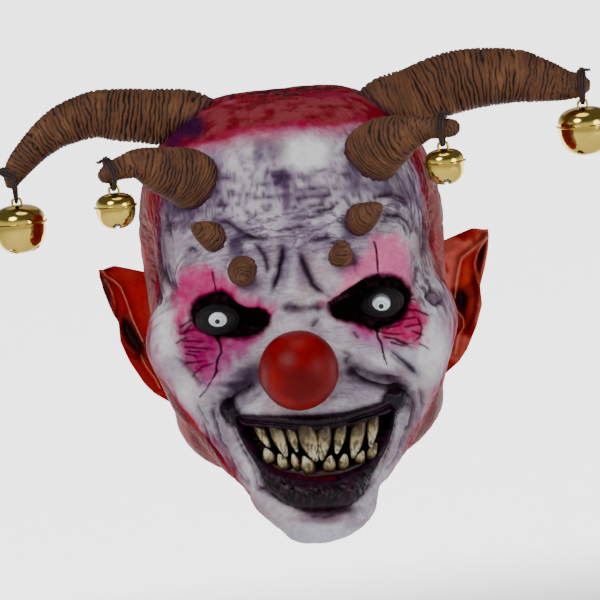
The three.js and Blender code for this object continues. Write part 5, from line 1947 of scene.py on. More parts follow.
class CarvedHorn:
    """A horn or spike with broken cross grooves."""

    def __init__(self, finishes: Finishes, name: str, line: Array, girth: Array, seed: int, step: float) -> None:
        """Keep the course.

        Args:
            finishes: the mask's finishes.
            name: the node it replaces and its own name.
            line: centreline places, foot first.
            girth: radius at each place.
            seed: picks the grooves' wander.
            step: distance between grooves in millimetres.
        """
        self.finishes = finishes
        self.name = name
        self.line = line
        self.girth = girth
        self.seed = seed
        self.step = step

    def build(self) -> bpy.types.Object:
        """Make the horn."""
        length = np.linalg.norm(np.diff(self.line, axis=0), axis=1).sum()
        count = int(length / (0.55 if FINE else 1.6)) + 8
        around = 96 if FINE else 32
        both = smooth_line(np.column_stack((self.line, self.girth)), count)
        centre, radius = both[:, :3], np.maximum(both[:, 3], 0.4)
        run = np.r_[0.0, np.cumsum(np.linalg.norm(np.diff(centre, axis=0), axis=1))]
        ahead, side, up = frames_along(centre)
        turn = np.linspace(0.0, 2 * math.pi, around, endpoint=False)
        spokes = np.cos(turn)[None, :, None] * side[:, None] + np.sin(turn)[None, :, None] * up[:, None]
        smooth = centre[:, None] + spokes * radius[:, None, None]
        flat = smooth.reshape(-1, 3)
        along = np.repeat(run, around)
        ring = np.column_stack((np.tile(np.cos(turn), count) * 9.0, np.tile(np.sin(turn), count) * 9.0, along))
        cut, tone = self._grooves(ring, along, np.repeat(radius, around))
        end = np.repeat(ease(run, run[-1] - 0.1, run[-1] - 4.0), around)
        flat = flat + spokes.reshape(-1, 3) * (cut * (0.3 + 0.7 * end))[:, None]
        colours = self._colours(flat, tone, ring)
        rings = seat(flat, 3.8).reshape(count, around, 3)
        points, faces = loft(rings)
        colours = np.vstack((colours, colours[:1], colours[-1:]))
        obj = add_mesh(self.name, points, faces)
        paint_points(obj, "paint", colours)
        obj.data.materials.append(self.finishes.horn)
        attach(obj, "mask")
        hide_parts(self.name)
        return obj

    def _grooves(self, ring: Array, along: Array, radius: Array) -> tuple[Array, Array]:
        """Height change and a lightness from 0 in the grooves to 1 on the ridges."""
        wander = (cloud(ring / (2.4, 2.4, 1.3), 9.0, self.seed, 3) - 0.5) * 2.6 * self.step
        fine = (cloud(ring / (1.2, 1.2, 1.0), 3.0, self.seed + 1, 2) - 0.5) * 1.1 * self.step
        phase = (along + wander + fine) / self.step
        ridge = np.abs(2.0 * (phase - np.floor(phase)) - 1.0)
        broken = ease(cloud(ring / (1.3, 1.3, 0.5), 6.0, self.seed + 2, 2), 0.32, 0.52)
        thick = 0.2 + 0.4 * cloud(ring, 7.0, self.seed + 7, 2)
        sharp = ease(ridge, 0.02, thick)
        size = np.clip(radius / 20.0, 0.35, 1.0)
        lumps = (cloud(ring, 14.0, self.seed + 3, 3) - 0.5) * 1.6
        cut = -1.55 * size * (1.0 - sharp) * (0.35 + 0.65 * broken) + lumps * size + 0.5 * size * (ridge - 0.5)
        return cut, sharp * (1.0 - 0.25 * broken) + (1.0 - sharp) * (1.0 - broken) * 0.6

    def _colours(self, points: Array, tone: Array, ring: Array) -> Array:
        """Paint by groove depth, dark in the grooves, partly the horn's own dark brown and partly painted shade, with
        painted tan highlights on some ridges, and painted shade in purple where the horn meets the skin.
        """
        dark, mid, light = tint("1c110e"), tint("74523f"), tint("a07a5c")
        spread = cloud(ring, 8.0, self.seed + 5, 3)
        # Dark in the grooves, partly own colour and partly painted shade; painted tan highlights on some ridges
        shade = dark + (mid - dark) * ease(tone, 0.1, 0.75)[:, None]
        shade = shade + (light - shade) * (0.5 * ease(tone, 0.7, 1.0) * ease(spread, 0.45, 0.8))[:, None]
        shade = shade + (dark - shade) * (0.3 * ease(1 - spread, 0.52, 0.8))[:, None]
        gap = FORM.distance(points)
        # Painted shade in purple where the horn meets the skin
        join_shade = ease(-gap + 3.0 * cloud(ring, 5.0, self.seed + 6, 2), -3.0, 1.5)
        shade = shade + (tint("4e2436") - shade) * (0.8 * join_shade)[:, None]
        return np.clip(shade, 0, 1)


SPIKE_LOOKS = (
    ("spike_upper_left", (-0.235, -0.375, 0.181), (-0.62, -0.62, 0.48), 10.2, 25.0),
    ("spike_upper_right", (0.205, -0.38, 0.186), (0.66, -0.62, 0.42), 11.0, 27.0),
    ("spike_lower_left", (-0.162, -0.41, 0.108), (-0.05, -1.0, -0.1), 11.0, 23.0),
    ("spike_lower_right", (0.144, -0.41, 0.104), (0.08, -0.8, 0.6), 9.2, 26.0),
)


class Horns:
    """All four horns and the four brow spikes."""

    def __init__(self, finishes: Finishes) -> None:
        """Keep the finishes."""
        self.finishes = finishes

    def build(self) -> list[bpy.types.Object]:
        """Make the horns and spikes."""
        made = []
        for seed, look in enumerate(HORN_LOOKS):
            centres = look.centres()
            girth = np.array([row[3] for row in look.rows]) * look.radius
            root = centres[0] - look.axes()[0] * 20.0 - (0.0, 0.0, 9.0)
            line = np.vstack((root, centres))
            girth = np.r_[girth[0] * 0.9, girth]
            made.append(CarvedHorn(self.finishes, f"horn_{look.place}", line, girth, 200 + 10 * seed, 3.0 if look.large else 2.6).build())
        for seed, (name, foot, lean, wide, tall) in enumerate(SPIKE_LOOKS):
            start, way = np.array(foot) * HEAD, unit(np.array(lean))
            shares, girths = (-0.5, 0.1, 0.45, 0.8, 1.0), (1.0, 1.0, 0.82, 0.5, 0.16)
            line = np.array([start + way * share * tall for share in shares])
            made.append(CarvedHorn(self.finishes, name, line, np.array(girths) * wide, 300 + 10 * seed, 2.9).build())
        return made


# Nose, eyes and teeth


class Nose:
    """The round red nose."""

    CENTRE_X, CENTRE_Z, RADIUS, PROUD = -5.0, -36.0, 27.5, 43.0

    def __init__(self, finishes: Finishes) -> None:
        """Keep the finishes."""
        self.finishes = finishes

    def build(self) -> bpy.types.Object:
        """Make the ball, its back seated on the face."""
        start = np.array(((self.CENTRE_X, 0.0, self.CENTRE_Z),))
        reach = FORM.reach(start, np.array(((0.0, -1.0, 0.0),)), 0.0)[0]
        centre = np.array((self.CENTRE_X, -reach - self.PROUD + self.RADIUS, self.CENTRE_Z))
        rows, columns = (90, 120) if FINE else (30, 40)
        tilt = np.linspace(0.004, math.pi - 0.004, rows)
        turn = np.linspace(0.0, 2 * math.pi, columns, endpoint=False)
        ways = np.stack(
            (
                np.sin(tilt)[:, None] * np.cos(turn),
                -np.cos(tilt)[:, None] * np.ones(columns),
                np.sin(tilt)[:, None] * np.sin(turn),
            ),
            axis=-1,
        )
        lumps = (cloud(ways.reshape(-1, 3) * 40.0, 26.0, 401, 2) - 0.5).reshape(rows, columns)
        rings = centre + ways * (self.RADIUS - 0.3 + 1.0 * lumps)[..., None]
        points, faces = loft(seat(rings.reshape(-1, 3)).reshape(rows, columns, 3))
        spots = VIEW.sheet(points)
        tone = cloud(points, 15.0, 402, 4)
        colours = tint("8c1018") + (tint("a61a20") - tint("8c1018")) * ease(tone, 0.35, 0.7)[:, None]
        # Painted shade: the ball is darker on its lower middle and towards its rim, as seen from the front
        low = 1.0 - ease(np.linalg.norm((spots - (303.0, 384.0)) / (25.0, 21.0), axis=1), 0.45, 1.15)
        colours = colours + (tint("6c0810") - colours) * (0.75 * low * (0.6 + 0.6 * tone))[:, None]
        edge = ease(np.linalg.norm(spots - (299.3, 371.4), axis=1), 31.0, 41.0)
        colours = colours + (tint("7c1018") - colours) * (0.6 * edge)[:, None]
        obj = add_mesh("nose_ball", points, faces)
        paint_points(obj, "paint", np.clip(colours, 0, 1))
        obj.data.materials.append(self.finishes.nose)
        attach(obj, "mask")
        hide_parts("nose_ball")
        return obj


@dataclass(frozen=True)
class Gaze:
    """One eye: its side, opening's half sizes and turn in degrees, and where the pupil lies on the sheet."""

    side: int
    opening: Point2
    turn: float
    pupil: Point2


class Eye:
    """A painted eyeball between two heavy wrinkled lids."""

    def __init__(self, finishes: Finishes, gaze: Gaze) -> None:
        """Keep the gaze."""
        self.finishes = finishes
        self.gaze = gaze
        start = np.array(((gaze.side * 56.0, 0.0, 0.0),))
        reach = FORM.reach(start, np.array(((0.0, -1.0, 0.0),)), 0.0)[0]
        self.front = -reach - 11.0
        self.name = "left" if gaze.side < 0 else "right"

    def _dirs(self, angles: Array, turns: Array) -> Array:
        """Directions at angles from the painter's line of sight."""
        right, up, ahead = VIEW.axes()
        around = np.cos(turns)[:, None] * right + np.sin(turns)[:, None] * up
        return np.cos(angles)[..., None] * -ahead + np.sin(angles)[..., None] * around

    def _add(self, name: str, rings: Array, colours: Callable[[Array], Array], cap: bool) -> bpy.types.Object:
        """Make one piece and paint it."""
        points, faces = loft(rings, (cap, False))
        obj = add_mesh(name, points, faces)
        paint_points(obj, "paint", np.clip(colours(points), 0, 1))
        obj.data.materials.append(self.finishes.eye if cap else self.finishes.lid)
        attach(obj, "mask")
        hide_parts(f"eye_{self.name}")
        return obj

    def _ball_colours(self, points: Array) -> Array:
        """White ball with a ringed black pupil, darker towards the lids as painted shade."""
        spots = VIEW.sheet(points)
        gap = np.linalg.norm(spots - np.array(self.gaze.pupil), axis=1)
        tone = tint("f6fafe") + (tint("b4bcc8") - tint("f6fafe")) * (0.35 * ease(cloud(points, 4.0, 411, 3), 0.4, 0.8))[:, None]
        tone = tone + (tint("5c6270") - tone) * (0.45 * np.exp(-(((gap - 4.9) / 0.5) ** 2)))[:, None]
        # Painted shade: darker towards the edge, under the lids
        tone = tone + (tint("3c3f48") - tone) * (0.8 * ease(gap, 8.2, 10.4))[:, None]
        return tone + (tint("060608") - tone) * (1.0 - ease(gap, 2.2, 3.0))[:, None]

    def _lid_colours(self, points: Array) -> Array:
        """Brown black with greyish folds."""
        shade = cloud(points / (1.0, 1.0, 0.4), 3.2, 412, 3)
        return tint("150c0f") + (tint("2e2224") - tint("150c0f")) * (0.75 * ease(shade, 0.5, 0.75))[:, None]

    def build(self) -> list[bpy.types.Object]:
        """Make the ball and its lids."""
        rows, columns = (46, 96) if FINE else (16, 32)
        turns = np.linspace(0.0, 2 * math.pi, columns, endpoint=False)
        middle = np.array((self.gaze.side * 56.0, self.front + 9.6, 0.0))
        angles = np.linspace(0.01, 1.75, rows)[:, None] * np.ones(columns)
        ball = middle + self._dirs(angles, turns) * 9.0
        tip, lean = np.array(self.gaze.opening), math.radians(self.gaze.turn)
        bearing = turns - lean
        half = 1.0 / np.sqrt((np.cos(bearing) / tip[0]) ** 2 + (np.sin(bearing) / tip[1]) ** 2)
        start = np.arcsin(np.clip(half / 10.0, 0.0, 0.95))
        share = np.linspace(0.0, 1.0, rows)[:, None]
        angles = start + (1.95 - start) * share
        ways = self._dirs(angles, turns)
        radii = np.array((15.0, 12.0, 10.4))
        hull_middle = np.array((self.gaze.side * 56.0, self.front + 11.4, 0.0))
        hull = 1.0 / np.linalg.norm(ways / radii, axis=-1)
        fold = 0.5 * np.sin(share * 26.0 + 2.2 * cloud(ways.reshape(-1, 3) * 10.0, 6.0, 413, 2).reshape(angles.shape) * 4.0)
        lids = hull_middle + ways * (hull + 0.2 + fold * ease(share, 0.02, 0.12) * (1 - ease(share, 0.5, 0.8)))[..., None]
        lip = middle + self._dirs(start[None] * np.ones((3, 1)) - np.array((0.0, 0.02, 0.03))[:, None], turns) * np.array((8.6, 9.3, 9.9))[:, None, None]
        rings = np.concatenate((lip, lids))
        return [
            self._add(f"eyeball_{self.name}", ball, self._ball_colours, True),
            self._add(f"eyelids_{self.name}", rings, self._lid_colours, False),
        ]


@dataclass(frozen=True)
class Tooth:
    """One tooth on the painter's sheet: middle of its root, its tip, and its width there."""

    root: Point2
    tip: Point2
    width: float


UPPER_TEETH = (
    Tooth((258.2, 427.3), (270.2, 447.7), 8.4),
    Tooth((274.4, 426), (286.7, 456.8), 11.9),
    Tooth((289.8, 428.7), (297.1, 451.9), 8.4),
    Tooth((305.2, 427.3), (316.5, 461.7), 16.1),
    Tooth((324.9, 428.7), (321.8, 460.3), 12.6),
    Tooth((341.7, 426), (336.4, 454), 9.8),
    Tooth((359.3, 424.5), (352.7, 458.2), 11.9),
    Tooth((373.3, 416.1), (370.5, 447.7), 9.8),
)
LOWER_TEETH = (
    Tooth((270.9, 460.3), (265.2, 448.4), 10.5),
    Tooth((285.6, 466.6), (278.6, 454), 9.8),
    Tooth((297.5, 467.3), (292.6, 453.3), 7.7),
    Tooth((310.1, 470.8), (303.1, 456.1), 11.9),
    Tooth((328.4, 468.7), (331.2, 455.4), 11.2),
    Tooth((342.4, 467.3), (345.2, 453.3), 9.1),
    Tooth((358.6, 461), (362.8, 450.5), 8.4),
    Tooth((369.8, 456.8), (376.1, 442.8), 8.4),
)


class TeethRow:
    """One row of crooked teeth in its gum."""

    def __init__(self, finishes: Finishes, name: str, teeth: Sequence[Tooth], down: bool) -> None:
        """Keep the row."""
        self.finishes = finishes
        self.name = name
        self.teeth = teeth
        self.down = down

    @staticmethod
    def _place(spots: Array, ahead_mm: float) -> Array:
        """Points of the tooth plane that the painter sees at places on the sheet."""
        eye = VIEW.eye()
        ways = np.array([VIEW.ray(tuple(spot))[1] for spot in spots])
        depth = np.full(len(spots), -96.0)
        for _ in range(3):
            points = eye + ways * ((depth - eye[1]) / ways[:, 1])[:, None]
            starts = np.column_stack((points[:, 0], np.full(len(spots), -30.0), points[:, 2]))
            reach = FORM.reach(starts, np.broadcast_to((0.0, -1.0, 0.0), starts.shape), 0.0)
            depth = -30.0 - reach + 8.5 - ahead_mm
        return eye + ways * ((depth - eye[1]) / ways[:, 1])[:, None]

    def _tooth(self, tooth: Tooth, seed: int) -> tuple[Array, Faces, Array]:
        """Shape one tooth and colour it: stains, painted shade on its flanks, and darker towards the root."""
        count, around = (34, 28) if FINE else (10, 12)
        ends = self._place(np.array((tooth.root, tooth.tip)), 4.5)
        share = np.linspace(-0.12, 1.0, count)
        bend = np.array((0.0, -1.6, 0.0)) * np.sin(np.pi * np.clip(share, 0, 1))[:, None]
        centre = ends[0] + (ends[1] - ends[0]) * share[:, None] + bend
        wide = tooth.width * VIEW.unit_mm * 0.62
        table = np.array(((-0.12, 0.78), (0.0, 0.9), (0.2, 1.0), (0.45, 0.92), (0.7, 0.68), (0.88, 0.42), (0.96, 0.27), (1.0, 0.08)))
        girth = np.interp(share, table[:, 0], table[:, 1]) * wide
        ahead, _, _ = frames_along(centre)
        front = unit(np.array((0.0, -1.0, 0.0)) - ahead * (ahead @ (0.0, -1.0, 0.0))[:, None])
        side = np.cross(front, ahead)
        turn = np.linspace(0.0, 2 * math.pi, around, endpoint=False)
        facet = 1.0 + 0.05 * np.cos(3 * turn + seed)
        spokes = (np.cos(turn) * facet)[None, :, None] * side[:, None] + (0.72 * np.sin(turn) * facet)[None, :, None] * front[:, None]
        rings = centre[:, None] + spokes * girth[:, None, None]
        lumps = (cloud(rings.reshape(-1, 3), 3.2, 420 + seed, 3) - 0.5).reshape(count, around)
        rings = rings + unit(spokes) * (0.55 * lumps * girth[:, None] / wide)[..., None]
        points, faces = loft(rings)
        along = np.r_[np.repeat(share, around), share[0], share[-1]]
        stain = cloud(points / (0.35, 0.35, 1.0), 4.0, 430 + seed, 4)
        colour = tint("c2b898") + (tint("dedac4") - tint("c2b898")) * ease(along, 0.3, 0.9)[:, None]
        colour = colour + (tint("4a3422") - colour) * (0.85 * ease(stain, 0.42, 0.66))[:, None]
        # Painted shade: each tooth is darker on its flanks, towards its neighbours
        flank_shade = np.r_[np.tile(np.abs(np.cos(turn)), count), 0.0, 0.0]
        colour = colour + (tint("3a2818") - colour) * (0.75 * ease(flank_shade + 0.4 * (stain - 0.5), 0.62, 0.95))[:, None]
        root = 1.0 - ease(along + 0.5 * (stain - 0.5), 0.0, 0.5)
        colour = colour + (tint("3c2418") - colour) * (0.9 * root)[:, None]
        return points, faces, colour

    def build(self) -> bpy.types.Object:
        """Make the row."""
        parts = [self._tooth(tooth, 7 * k + (0 if self.down else 50)) for k, tooth in enumerate(self.teeth)]
        spots = np.array([tooth.root for tooth in self.teeth])
        spots = np.vstack((spots[0] - (7.0, 1.0), spots, spots[-1] + (6.0, -4.0))) + (0.0, -3.0 if self.down else 4.0)
        line = smooth_line(self._place(spots, 1.0), 90 if FINE else 24)
        gum_points, gum_faces = tube(line, 3.4 + 0.9 * (cloud(line, 5.0, 440, 2) - 0.5), 20 if FINE else 8)
        gum_colour = tint("4a2226") + (tint("23100f") - tint("4a2226")) * ease(cloud(gum_points, 5.0, 441, 3), 0.35, 0.7)[:, None]
        parts.append((gum_points, gum_faces, gum_colour))
        points, faces = merge([(p, f) for p, f, _ in parts])
        obj = add_mesh(self.name, points, faces)
        paint_points(obj, "paint", np.clip(np.vstack([c for _, _, c in parts]), 0, 1))
        obj.data.materials.append(self.finishes.tooth)
        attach(obj, "mask")
        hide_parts(self.name)
        return obj


# Cord ties and bells


class Tie:
    """Cord wound round a horn's tip, knotted on top, its loop carrying the bell."""

    CORD = 2.0
    WOUND = 0.35

    def __init__(self, finishes: Finishes, look: HornLook) -> None:
        """Work out the loop's sizes from the horn's section."""
        self.finishes = finishes
        self.look = look
        self.centre = look.centres()[look.tie_row]
        self.axis = look.axes()[look.tie_row]
        self.radius = look.rows[look.tie_row][3] * look.radius
        level = unit(self.axis * (1.0, 1.0, 0.0))
        self.across = np.cross((0.0, 0.0, 1.0), level)
        steep = max(float(np.hypot(self.axis[0], self.axis[1])), 0.55)
        self.depth = self.radius / steep + 1.8 + 2 * self.WOUND + 0.9 + self.CORD / 2

    def pivot(self) -> Array:
        """Where the bell's eye hangs."""
        return self.centre - (0.0, 0.0, self.depth)

    def _loop(self, shift: float, slack: float) -> Array:
        """One closed turn of cord, round over the horn and drawn down to the flat stretch."""
        side = unit(np.cross(self.axis, (0.0, 0.0, 1.0)))
        upward = unit(np.cross(side, self.axis))
        wide = (self.radius + self.CORD / 2 + self.WOUND) * 1.05 + slack
        over = [self.centre + (math.cos(a) * side + math.sin(a) * upward) * wide for a in np.linspace(0, math.pi, 7)]
        down = [(-wide, 0.4), (-0.72 * wide, 0.82), (-2.6, 1.0), (2.6, 1.0), (0.72 * wide, 0.82), (wide, 0.4)]
        under = [self.centre + side * s - np.array((0.0, 0.0, d * self.depth)) for s, d in down]
        ring = np.array([*over, *under, over[0]])
        narrow = ease(self.centre[2] - ring[:, 2], 0.0, self.depth * 0.8)[:, None]
        return smooth_line(ring + self.axis * shift * (1 - 0.75 * narrow), 72 if FINE else 30)[:-1]

    def _closed(self, line: Array, radius: float) -> tuple[Array, Faces]:
        """Cord running round a closed line, with a twisted lay."""
        count, around = len(line), 10
        ahead = unit(np.roll(line, -1, axis=0) - np.roll(line, 1, axis=0))
        side = unit(np.cross(ahead, self.axis))
        up = np.cross(side, ahead)
        turn = np.linspace(0.0, 2 * math.pi, around, endpoint=False)
        twist = np.arange(count) * 2 * math.pi * 9 / count
        lay = radius * (1.0 + 0.16 * np.cos(3 * (turn[None] + twist[:, None])))
        spokes = np.cos(turn)[None, :, None] * side[:, None] + np.sin(turn)[None, :, None] * up[:, None]
        points = (line[:, None] + spokes * lay[..., None]).reshape(-1, 3)
        faces = grid_faces(count, around)
        faces += [[(count - 1) * around + c, c, (c + 1) % around, (count - 1) * around + (c + 1) % around] for c in range(around)]
        return points, faces

    def build(self) -> bpy.types.Object:
        """Make the tie."""
        parts = [self._closed(self._loop(shift, slack), 0.92) for shift, slack in ((-1.9, 0.1), (0.0, 0.0), (1.9, 0.15))]
        side = unit(np.cross(self.axis, (0.0, 0.0, 1.0)))
        upward = unit(np.cross(side, self.axis))
        knot = self.centre + upward * (self.radius + 2.4)
        for lean, tilt in ((0.5, 0.2), (-0.5, -0.25)):
            turn = np.linspace(0.0, 2 * math.pi, 17)
            ring = [knot + (math.cos(a) * side + math.sin(a) * (upward * (1 - abs(tilt)) + self.axis * lean)) * 1.6 for a in turn]
            parts.append(tube(np.array(ring), 0.95, 8))
        for spread, reach in ((-0.8, 6.5), (0.7, 5.5)):
            way = unit(self.axis + upward * 0.35 + side * spread)
            tail = np.array([knot + way * reach * s - np.array((0, 0, 1.6 * s * s)) for s in np.linspace(0, 1, 9)])
            parts.append(tube(tail, np.linspace(0.9, 0.75, 9), 8))
            for fray in range(4):
                spray = unit(way + 0.35 * (math.cos(fray * 1.7) * side + math.sin(fray * 1.7) * upward))
                parts.append(tube(np.array([tail[-1], tail[-1] + spray * 1.2, tail[-1] + spray * 2.2]), 0.22, 5))
        points, faces = merge(parts)
        obj = add_mesh(f"tie_{self.look.place}", points, faces)
        obj.data.materials.append(self.finishes.cord)
        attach(obj, "mask")
        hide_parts(f"tie_{self.look.place}")
        return obj


@dataclass(frozen=True)
class BellShape:
    """Sizes of one sleigh bell in millimetres."""

    radius: float
    wall: float = 1.0
    rim: float = 1.3
    slot: float = 2.4
    hole: float = 6.0
    eye_rise: float = 4.8
    eye_half: float = 3.2
    wire: float = 1.8

    @property
    def crown(self) -> float:
        """Height of the upper cup."""
        return self.radius * 0.68

    @property
    def bowl(self) -> float:
        """Depth of the lower cup."""
        return self.radius * 1.14


class Bell:
    """One sleigh bell: two cups crimped together, cross slots, wire eye and a pellet inside."""

    def __init__(self, finishes: Finishes, tie: Tie) -> None:
        """Keep the tie that it hangs on."""
        self.finishes = finishes
        self.tie = tie
        self.look = tie.look
        self.shape = BellShape(19.0 if tie.look.large else 13.5)
        rise = self.shape.crown + self.shape.eye_rise - self.shape.wire / 2 - 0.35 - 1.0
        self.middle = tie.pivot() - (0.0, 0.0, rise)

    def _cup(self, radius: float, crown: float, bowl: float, rim: bool) -> Array:
        """Profile from the bottom to the top as radius and height."""
        levels = np.sin(np.linspace(-math.pi / 2, math.pi / 2, 61 if FINE else 21))
        across = radius * np.clip(1.0 - np.abs(levels) ** 2.5, 0.0, 1.0) ** 0.4
        line = np.column_stack((across, np.where(levels < 0, levels * bowl, levels * crown)))
        line[0, 0] = line[-1, 0] = 0.0
        if rim:
            low, high = line[line[:, 1] < -0.9], line[line[:, 1] > 0.9]
            edge = self.shape.rim
            roll = [(radius, -0.85), (radius + edge * 0.75, -0.7), (radius + edge, -0.3), (radius + edge, -0.08),
                    (radius + edge * 0.8, 0.0), (radius + edge, 0.1), (radius + edge, 0.35), (radius + edge * 0.7, 0.7),
                    (radius, 0.85)]
            line = np.vstack((low, roll, high))
        return line

    def _turned(self, line: Array) -> tuple[Array, Faces]:
        """Turn a profile round the upright axis."""
        around = 96 if FINE else 32
        turn = np.linspace(0.0, 2 * math.pi, around, endpoint=False)
        body = line[1:-1]
        rings = np.stack((body[:, :1] * np.cos(turn), body[:, :1] * np.sin(turn), np.repeat(body[:, 1:], around, axis=1)), axis=-1)
        return loft(rings)

    def _cutters(self) -> list[tuple[Array, Faces]]:
        """Slots and their round ends."""
        shape = self.shape
        reach, cuts = shape.radius * 0.6, []
        for turn in (0.0, 90.0):
            angle = math.radians(turn + self.look.slot_turn)
            spin = np.array(((math.cos(angle), math.sin(angle), 0), (-math.sin(angle), math.cos(angle), 0), (0, 0, 1)))
            x, y, low, high = reach, shape.slot / 2, -1.5 * shape.bowl, -0.5 * shape.bowl
            ring = np.array(((x, y), (-x, y), (-x, -y), (x, -y)))
            box = np.array([np.column_stack((ring, np.full(4, z))) for z in (high, low)])
            cuts.append(loft(box @ spin))
            for end in (-1, 1):
                angles = np.linspace(0.0, -2 * math.pi, 28, endpoint=False)
                ring = np.column_stack((end * reach + shape.hole / 2 * np.cos(angles), shape.hole / 2 * np.sin(angles)))
                drum = np.array([np.column_stack((ring, np.full(28, z))) for z in (low, -0.4 * shape.bowl)])
                cuts.append(loft(drum @ spin))
        return cuts

    def _turn_home(self, points: Array) -> Array:
        """Turn bell places to the tie's direction and put them in place."""
        across = self.tie.across
        angle = math.atan2(across[1], across[0]) - math.pi / 2
        spin = np.array(((math.cos(angle), math.sin(angle), 0), (-math.sin(angle), math.cos(angle), 0), (0, 0, 1)))
        return points @ spin + self.middle

    def build(self) -> list[bpy.types.Object]:
        """Make the bell and its pellet."""
        shape = self.shape
        outer = self._turned(self._cup(shape.radius, shape.crown, shape.bowl, True))
        inner_line = self._cup(shape.radius - shape.wall, shape.crown - shape.wall, shape.bowl - shape.wall, False)
        inner_points, inner_faces = self._turned(inner_line)
        points, faces = merge([outer, (inner_points, [face[::-1] for face in inner_faces])])
        obj = add_mesh(f"bell_{self.look.place}", self._turn_home(points), faces)
        self._carve(obj)
        eye = self._eye()
        pellet = self._pellet()
        obj.data.materials.append(self.finishes.brass)
        for piece, node in ((obj, "bell"), (eye, "bell"), (pellet, "pellet")):
            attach(piece, f"{self.look.place}_bell")
            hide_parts(f"{node}_{self.look.place}")
        return [obj, eye, pellet]

    def _carve(self, obj: bpy.types.Object) -> None:
        """Cut the slots out of the bowl."""
        tools = []
        for points, faces in self._cutters():
            tool = add_mesh("slot_cutter", self._turn_home(points), faces, smooth=False)
            fix = bmesh.new()
            fix.from_mesh(tool.data)
            bmesh.ops.recalc_face_normals(fix, faces=fix.faces)
            fix.to_mesh(tool.data)
            fix.free()
            change = obj.modifiers.new("slots", "BOOLEAN")
            change.operation = "DIFFERENCE"
            change.solver = "EXACT"
            change.object = tool
            tools.append(tool)
        bpy.context.view_layer.update()
        graph = bpy.context.evaluated_depsgraph_get()
        cut = bpy.data.meshes.new_from_object(obj.evaluated_get(graph))
        obj.modifiers.clear()
        old = obj.data
        obj.data = cut
        bpy.data.meshes.remove(old)
        cut.name = obj.name
        for tool in tools:
            mesh = tool.data
            bpy.data.objects.remove(tool)
            bpy.data.meshes.remove(mesh)
        cut.set_sharp_from_angle(angle=math.radians(38.0))

    def _eye(self) -> bpy.types.Object:
        """Bend the wire eye on top."""
        shape = self.shape
        foot, top = shape.crown - 0.6, shape.crown + shape.eye_rise
        half = shape.eye_half
        knots = ((-half, 0, foot), (-half, 0, shape.crown + 0.5 * shape.eye_rise),
                 (-0.7 * half, 0, shape.crown + 0.87 * shape.eye_rise), (0, 0, top),
                 (0.7 * half, 0, shape.crown + 0.87 * shape.eye_rise), (half, 0, shape.crown + 0.5 * shape.eye_rise),
                 (half, 0, foot))
        line = smooth_line(knots, 44)
        points, faces = tube(line, shape.wire / 2, 14)
        obj = add_mesh(f"bell_eye_{self.look.place}", self._turn_home(points), faces)
        obj.data.materials.append(self.finishes.brass)
        return obj

    def _pellet(self) -> bpy.types.Object:
        """Lay the pellet in the bowl."""
        radius = self.shape.radius * 0.2
        tilt = np.linspace(0.05, math.pi - 0.05, 20)
        turn = np.linspace(0.0, 2 * math.pi, 28, endpoint=False)
        ways = np.stack((np.sin(tilt)[:, None] * np.cos(turn), np.sin(tilt)[:, None] * np.sin(turn),
                         np.cos(tilt)[:, None] * np.ones(28)), axis=-1)
        middle = np.array((0.0, 0.0, -self.shape.bowl + self.shape.wall + radius + 0.3))
        points, faces = loft((middle + ways * radius)[::-1])
        obj = add_mesh(f"pellet_{self.look.place}", self._turn_home(points), faces)
        obj.data.materials.append(self.finishes.steel)
        return obj


# Studio


class Light(Enum):
    """The soft lights: place in millimetres from the eye line, size, power and tint."""

    KEY = ((-800.0, -1300.0, 1200.0), 900.0, 21.0, (1.0, 0.985, 0.97))
    FILL = ((1500.0, -1100.0, 300.0), 900.0, 9.0, (0.97, 0.98, 1.0))
    TOP = ((100.0, -100.0, 1400.0), 800.0, 3.5, (1.0, 1.0, 1.0))
    BACK = ((0.0, 1300.0, 1100.0), 1200.0, 1.2, (1.0, 1.0, 1.0))


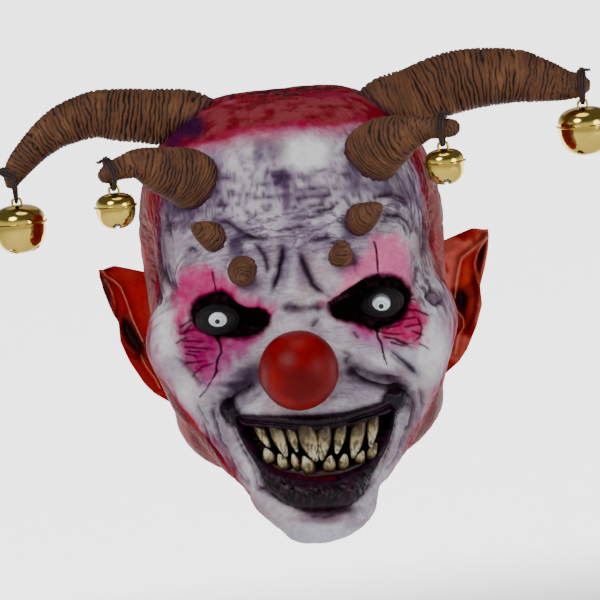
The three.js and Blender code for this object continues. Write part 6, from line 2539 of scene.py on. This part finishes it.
class Studio:
    """Pale floor and backdrop, soft lights and the camera."""

    def build(self) -> None:
        """Make the studio."""
        self._floor()
        for light in Light:
            self._light(light)
        self._world()
        self._camera()

    def _floor(self) -> None:
        """Lay the pale floor, which glows faintly in front and brightly where it lies behind the mask."""
        across = np.linspace(-15000.0, 15000.0, 9)
        points = np.array([(x, y, -330.0) for y in across for x in across])
        floor = add_mesh("studio_floor", points, grid_faces(len(across), len(across), closed=False, flip=True))
        sheet = Sheet("glowing_studio_paper")
        grain = sheet.noise(40.0, 3.0)
        colour = sheet.ramp(grain, ((0.3, (0.93, 0.93, 0.93)), (0.7, (0.95, 0.95, 0.95))))
        sheet.set(Roughness=0.9)
        sheet.join(colour, sheet.shader.inputs["Emission Color"])
        place = sheet.node("ShaderNodeSeparateXYZ")
        sheet.join(sheet.node("ShaderNodeTexCoord").outputs["Object"], place.inputs[0])
        # Painted light: the floor glows, more strongly behind the mask
        glow = sheet.range(place.outputs["Y"], 0.25, 0.6, 0.3, 3.2)
        sheet.join(glow, sheet.shader.inputs["Emission Strength"])
        floor.data.materials.append(sheet.dress(colour))

    def _light(self, light: Light) -> None:
        """Hang one soft light."""
        place, size, power, colour = light.value
        data = bpy.data.lights.new(f"{light.name.lower()}_light", "AREA")
        data.shape = "DISK"
        data.size = size / 1000.0
        data.energy = power
        data.color = colour
        obj = bpy.data.objects.new(data.name, data)
        spot = Vector(to_row(np.array(place)))
        obj.location = spot
        obj.rotation_euler = (Vector(to_row(np.array((0.0, -60.0, 0.0)))) - spot).to_track_quat("-Z", "Y").to_euler()
        bpy.context.scene.collection.objects.link(obj)

    def _world(self) -> None:
        """Dim surroundings with a pale band round the horizon."""
        world = bpy.data.worlds.new("studio_air")
        bpy.context.scene.world = world
        world.use_nodes = True
        tree = world.node_tree
        air = tree.nodes["Background"]
        air.inputs["Color"].default_value = (0.8, 0.82, 0.85, 1.0)
        way = tree.nodes.new("ShaderNodeSeparateXYZ")
        tree.links.new(tree.nodes.new("ShaderNodeTexCoord").outputs["Generated"], way.inputs[0])
        band = tree.nodes.new("ShaderNodeMapRange")
        for key, number in (("From Min", 0.04), ("From Max", 0.4), ("To Min", 1.1), ("To Max", 0.13)):
            band.inputs[key].default_value = number
        tree.links.new(way.outputs["Z"], band.inputs["Value"])
        tree.links.new(band.outputs["Result"], air.inputs["Strength"])

    def _camera(self) -> None:
        """Stand the camera where the painter stands."""
        data = bpy.data.cameras.new("camera")
        data.sensor_width = 36.0
        data.lens = 36.0 * VIEW.distance / (600.0 * VIEW.unit_mm)
        data.clip_end = 20.0
        camera = bpy.data.objects.new("camera", data)
        right, up, ahead = VIEW.axes()
        turn = Matrix([[right[k], up[k], -ahead[k]] for k in range(3)]).to_4x4()
        camera.matrix_world = Matrix.Translation(Vector(to_row(VIEW.eye()))) @ turn
        bpy.context.scene.collection.objects.link(camera)
        bpy.context.scene.camera = camera


class JesterMask:
    """The whole mask, built in order."""

    GAZES = (Gaze(-1, (7.2, 5.7), 4.0, (217.4, 321.6)), Gaze(1, (7.2, 6.6), -8.0, (381.2, 306.3)))

    def __init__(self) -> None:
        """Make the finishes."""
        self.finishes = Finishes()

    def build(self) -> None:
        """Build every piece and report."""
        pieces = SkinShell(self.finishes).build()
        log.info("skin done")
        pieces += [Ear(self.finishes, side).build() for side in (-1, 1)]
        pieces.append(Nose(self.finishes).build())
        for gaze in self.GAZES:
            pieces += Eye(self.finishes, gaze).build()
        pieces.append(TeethRow(self.finishes, "teeth_upper", UPPER_TEETH, True).build())
        pieces.append(TeethRow(self.finishes, "teeth_lower", LOWER_TEETH, False).build())
        log.info("face done")
        pieces += Horns(self.finishes).build()
        for look in HORN_LOOKS:
            tie = Tie(self.finishes, look)
            pieces.append(tie.build())
            pieces += Bell(self.finishes, tie).build()
        log.info("%d pieces, %d faces", len(pieces), sum(len(piece.data.polygons) for piece in pieces))


def write_sizes() -> None:
    """Update the view layer."""
    bpy.context.view_layer.update()


def main() -> None:
    """Build the mask and its studio."""
    JesterMask().build()
    Studio().build()
    write_sizes()


if __name__ == "__main__":
    main()
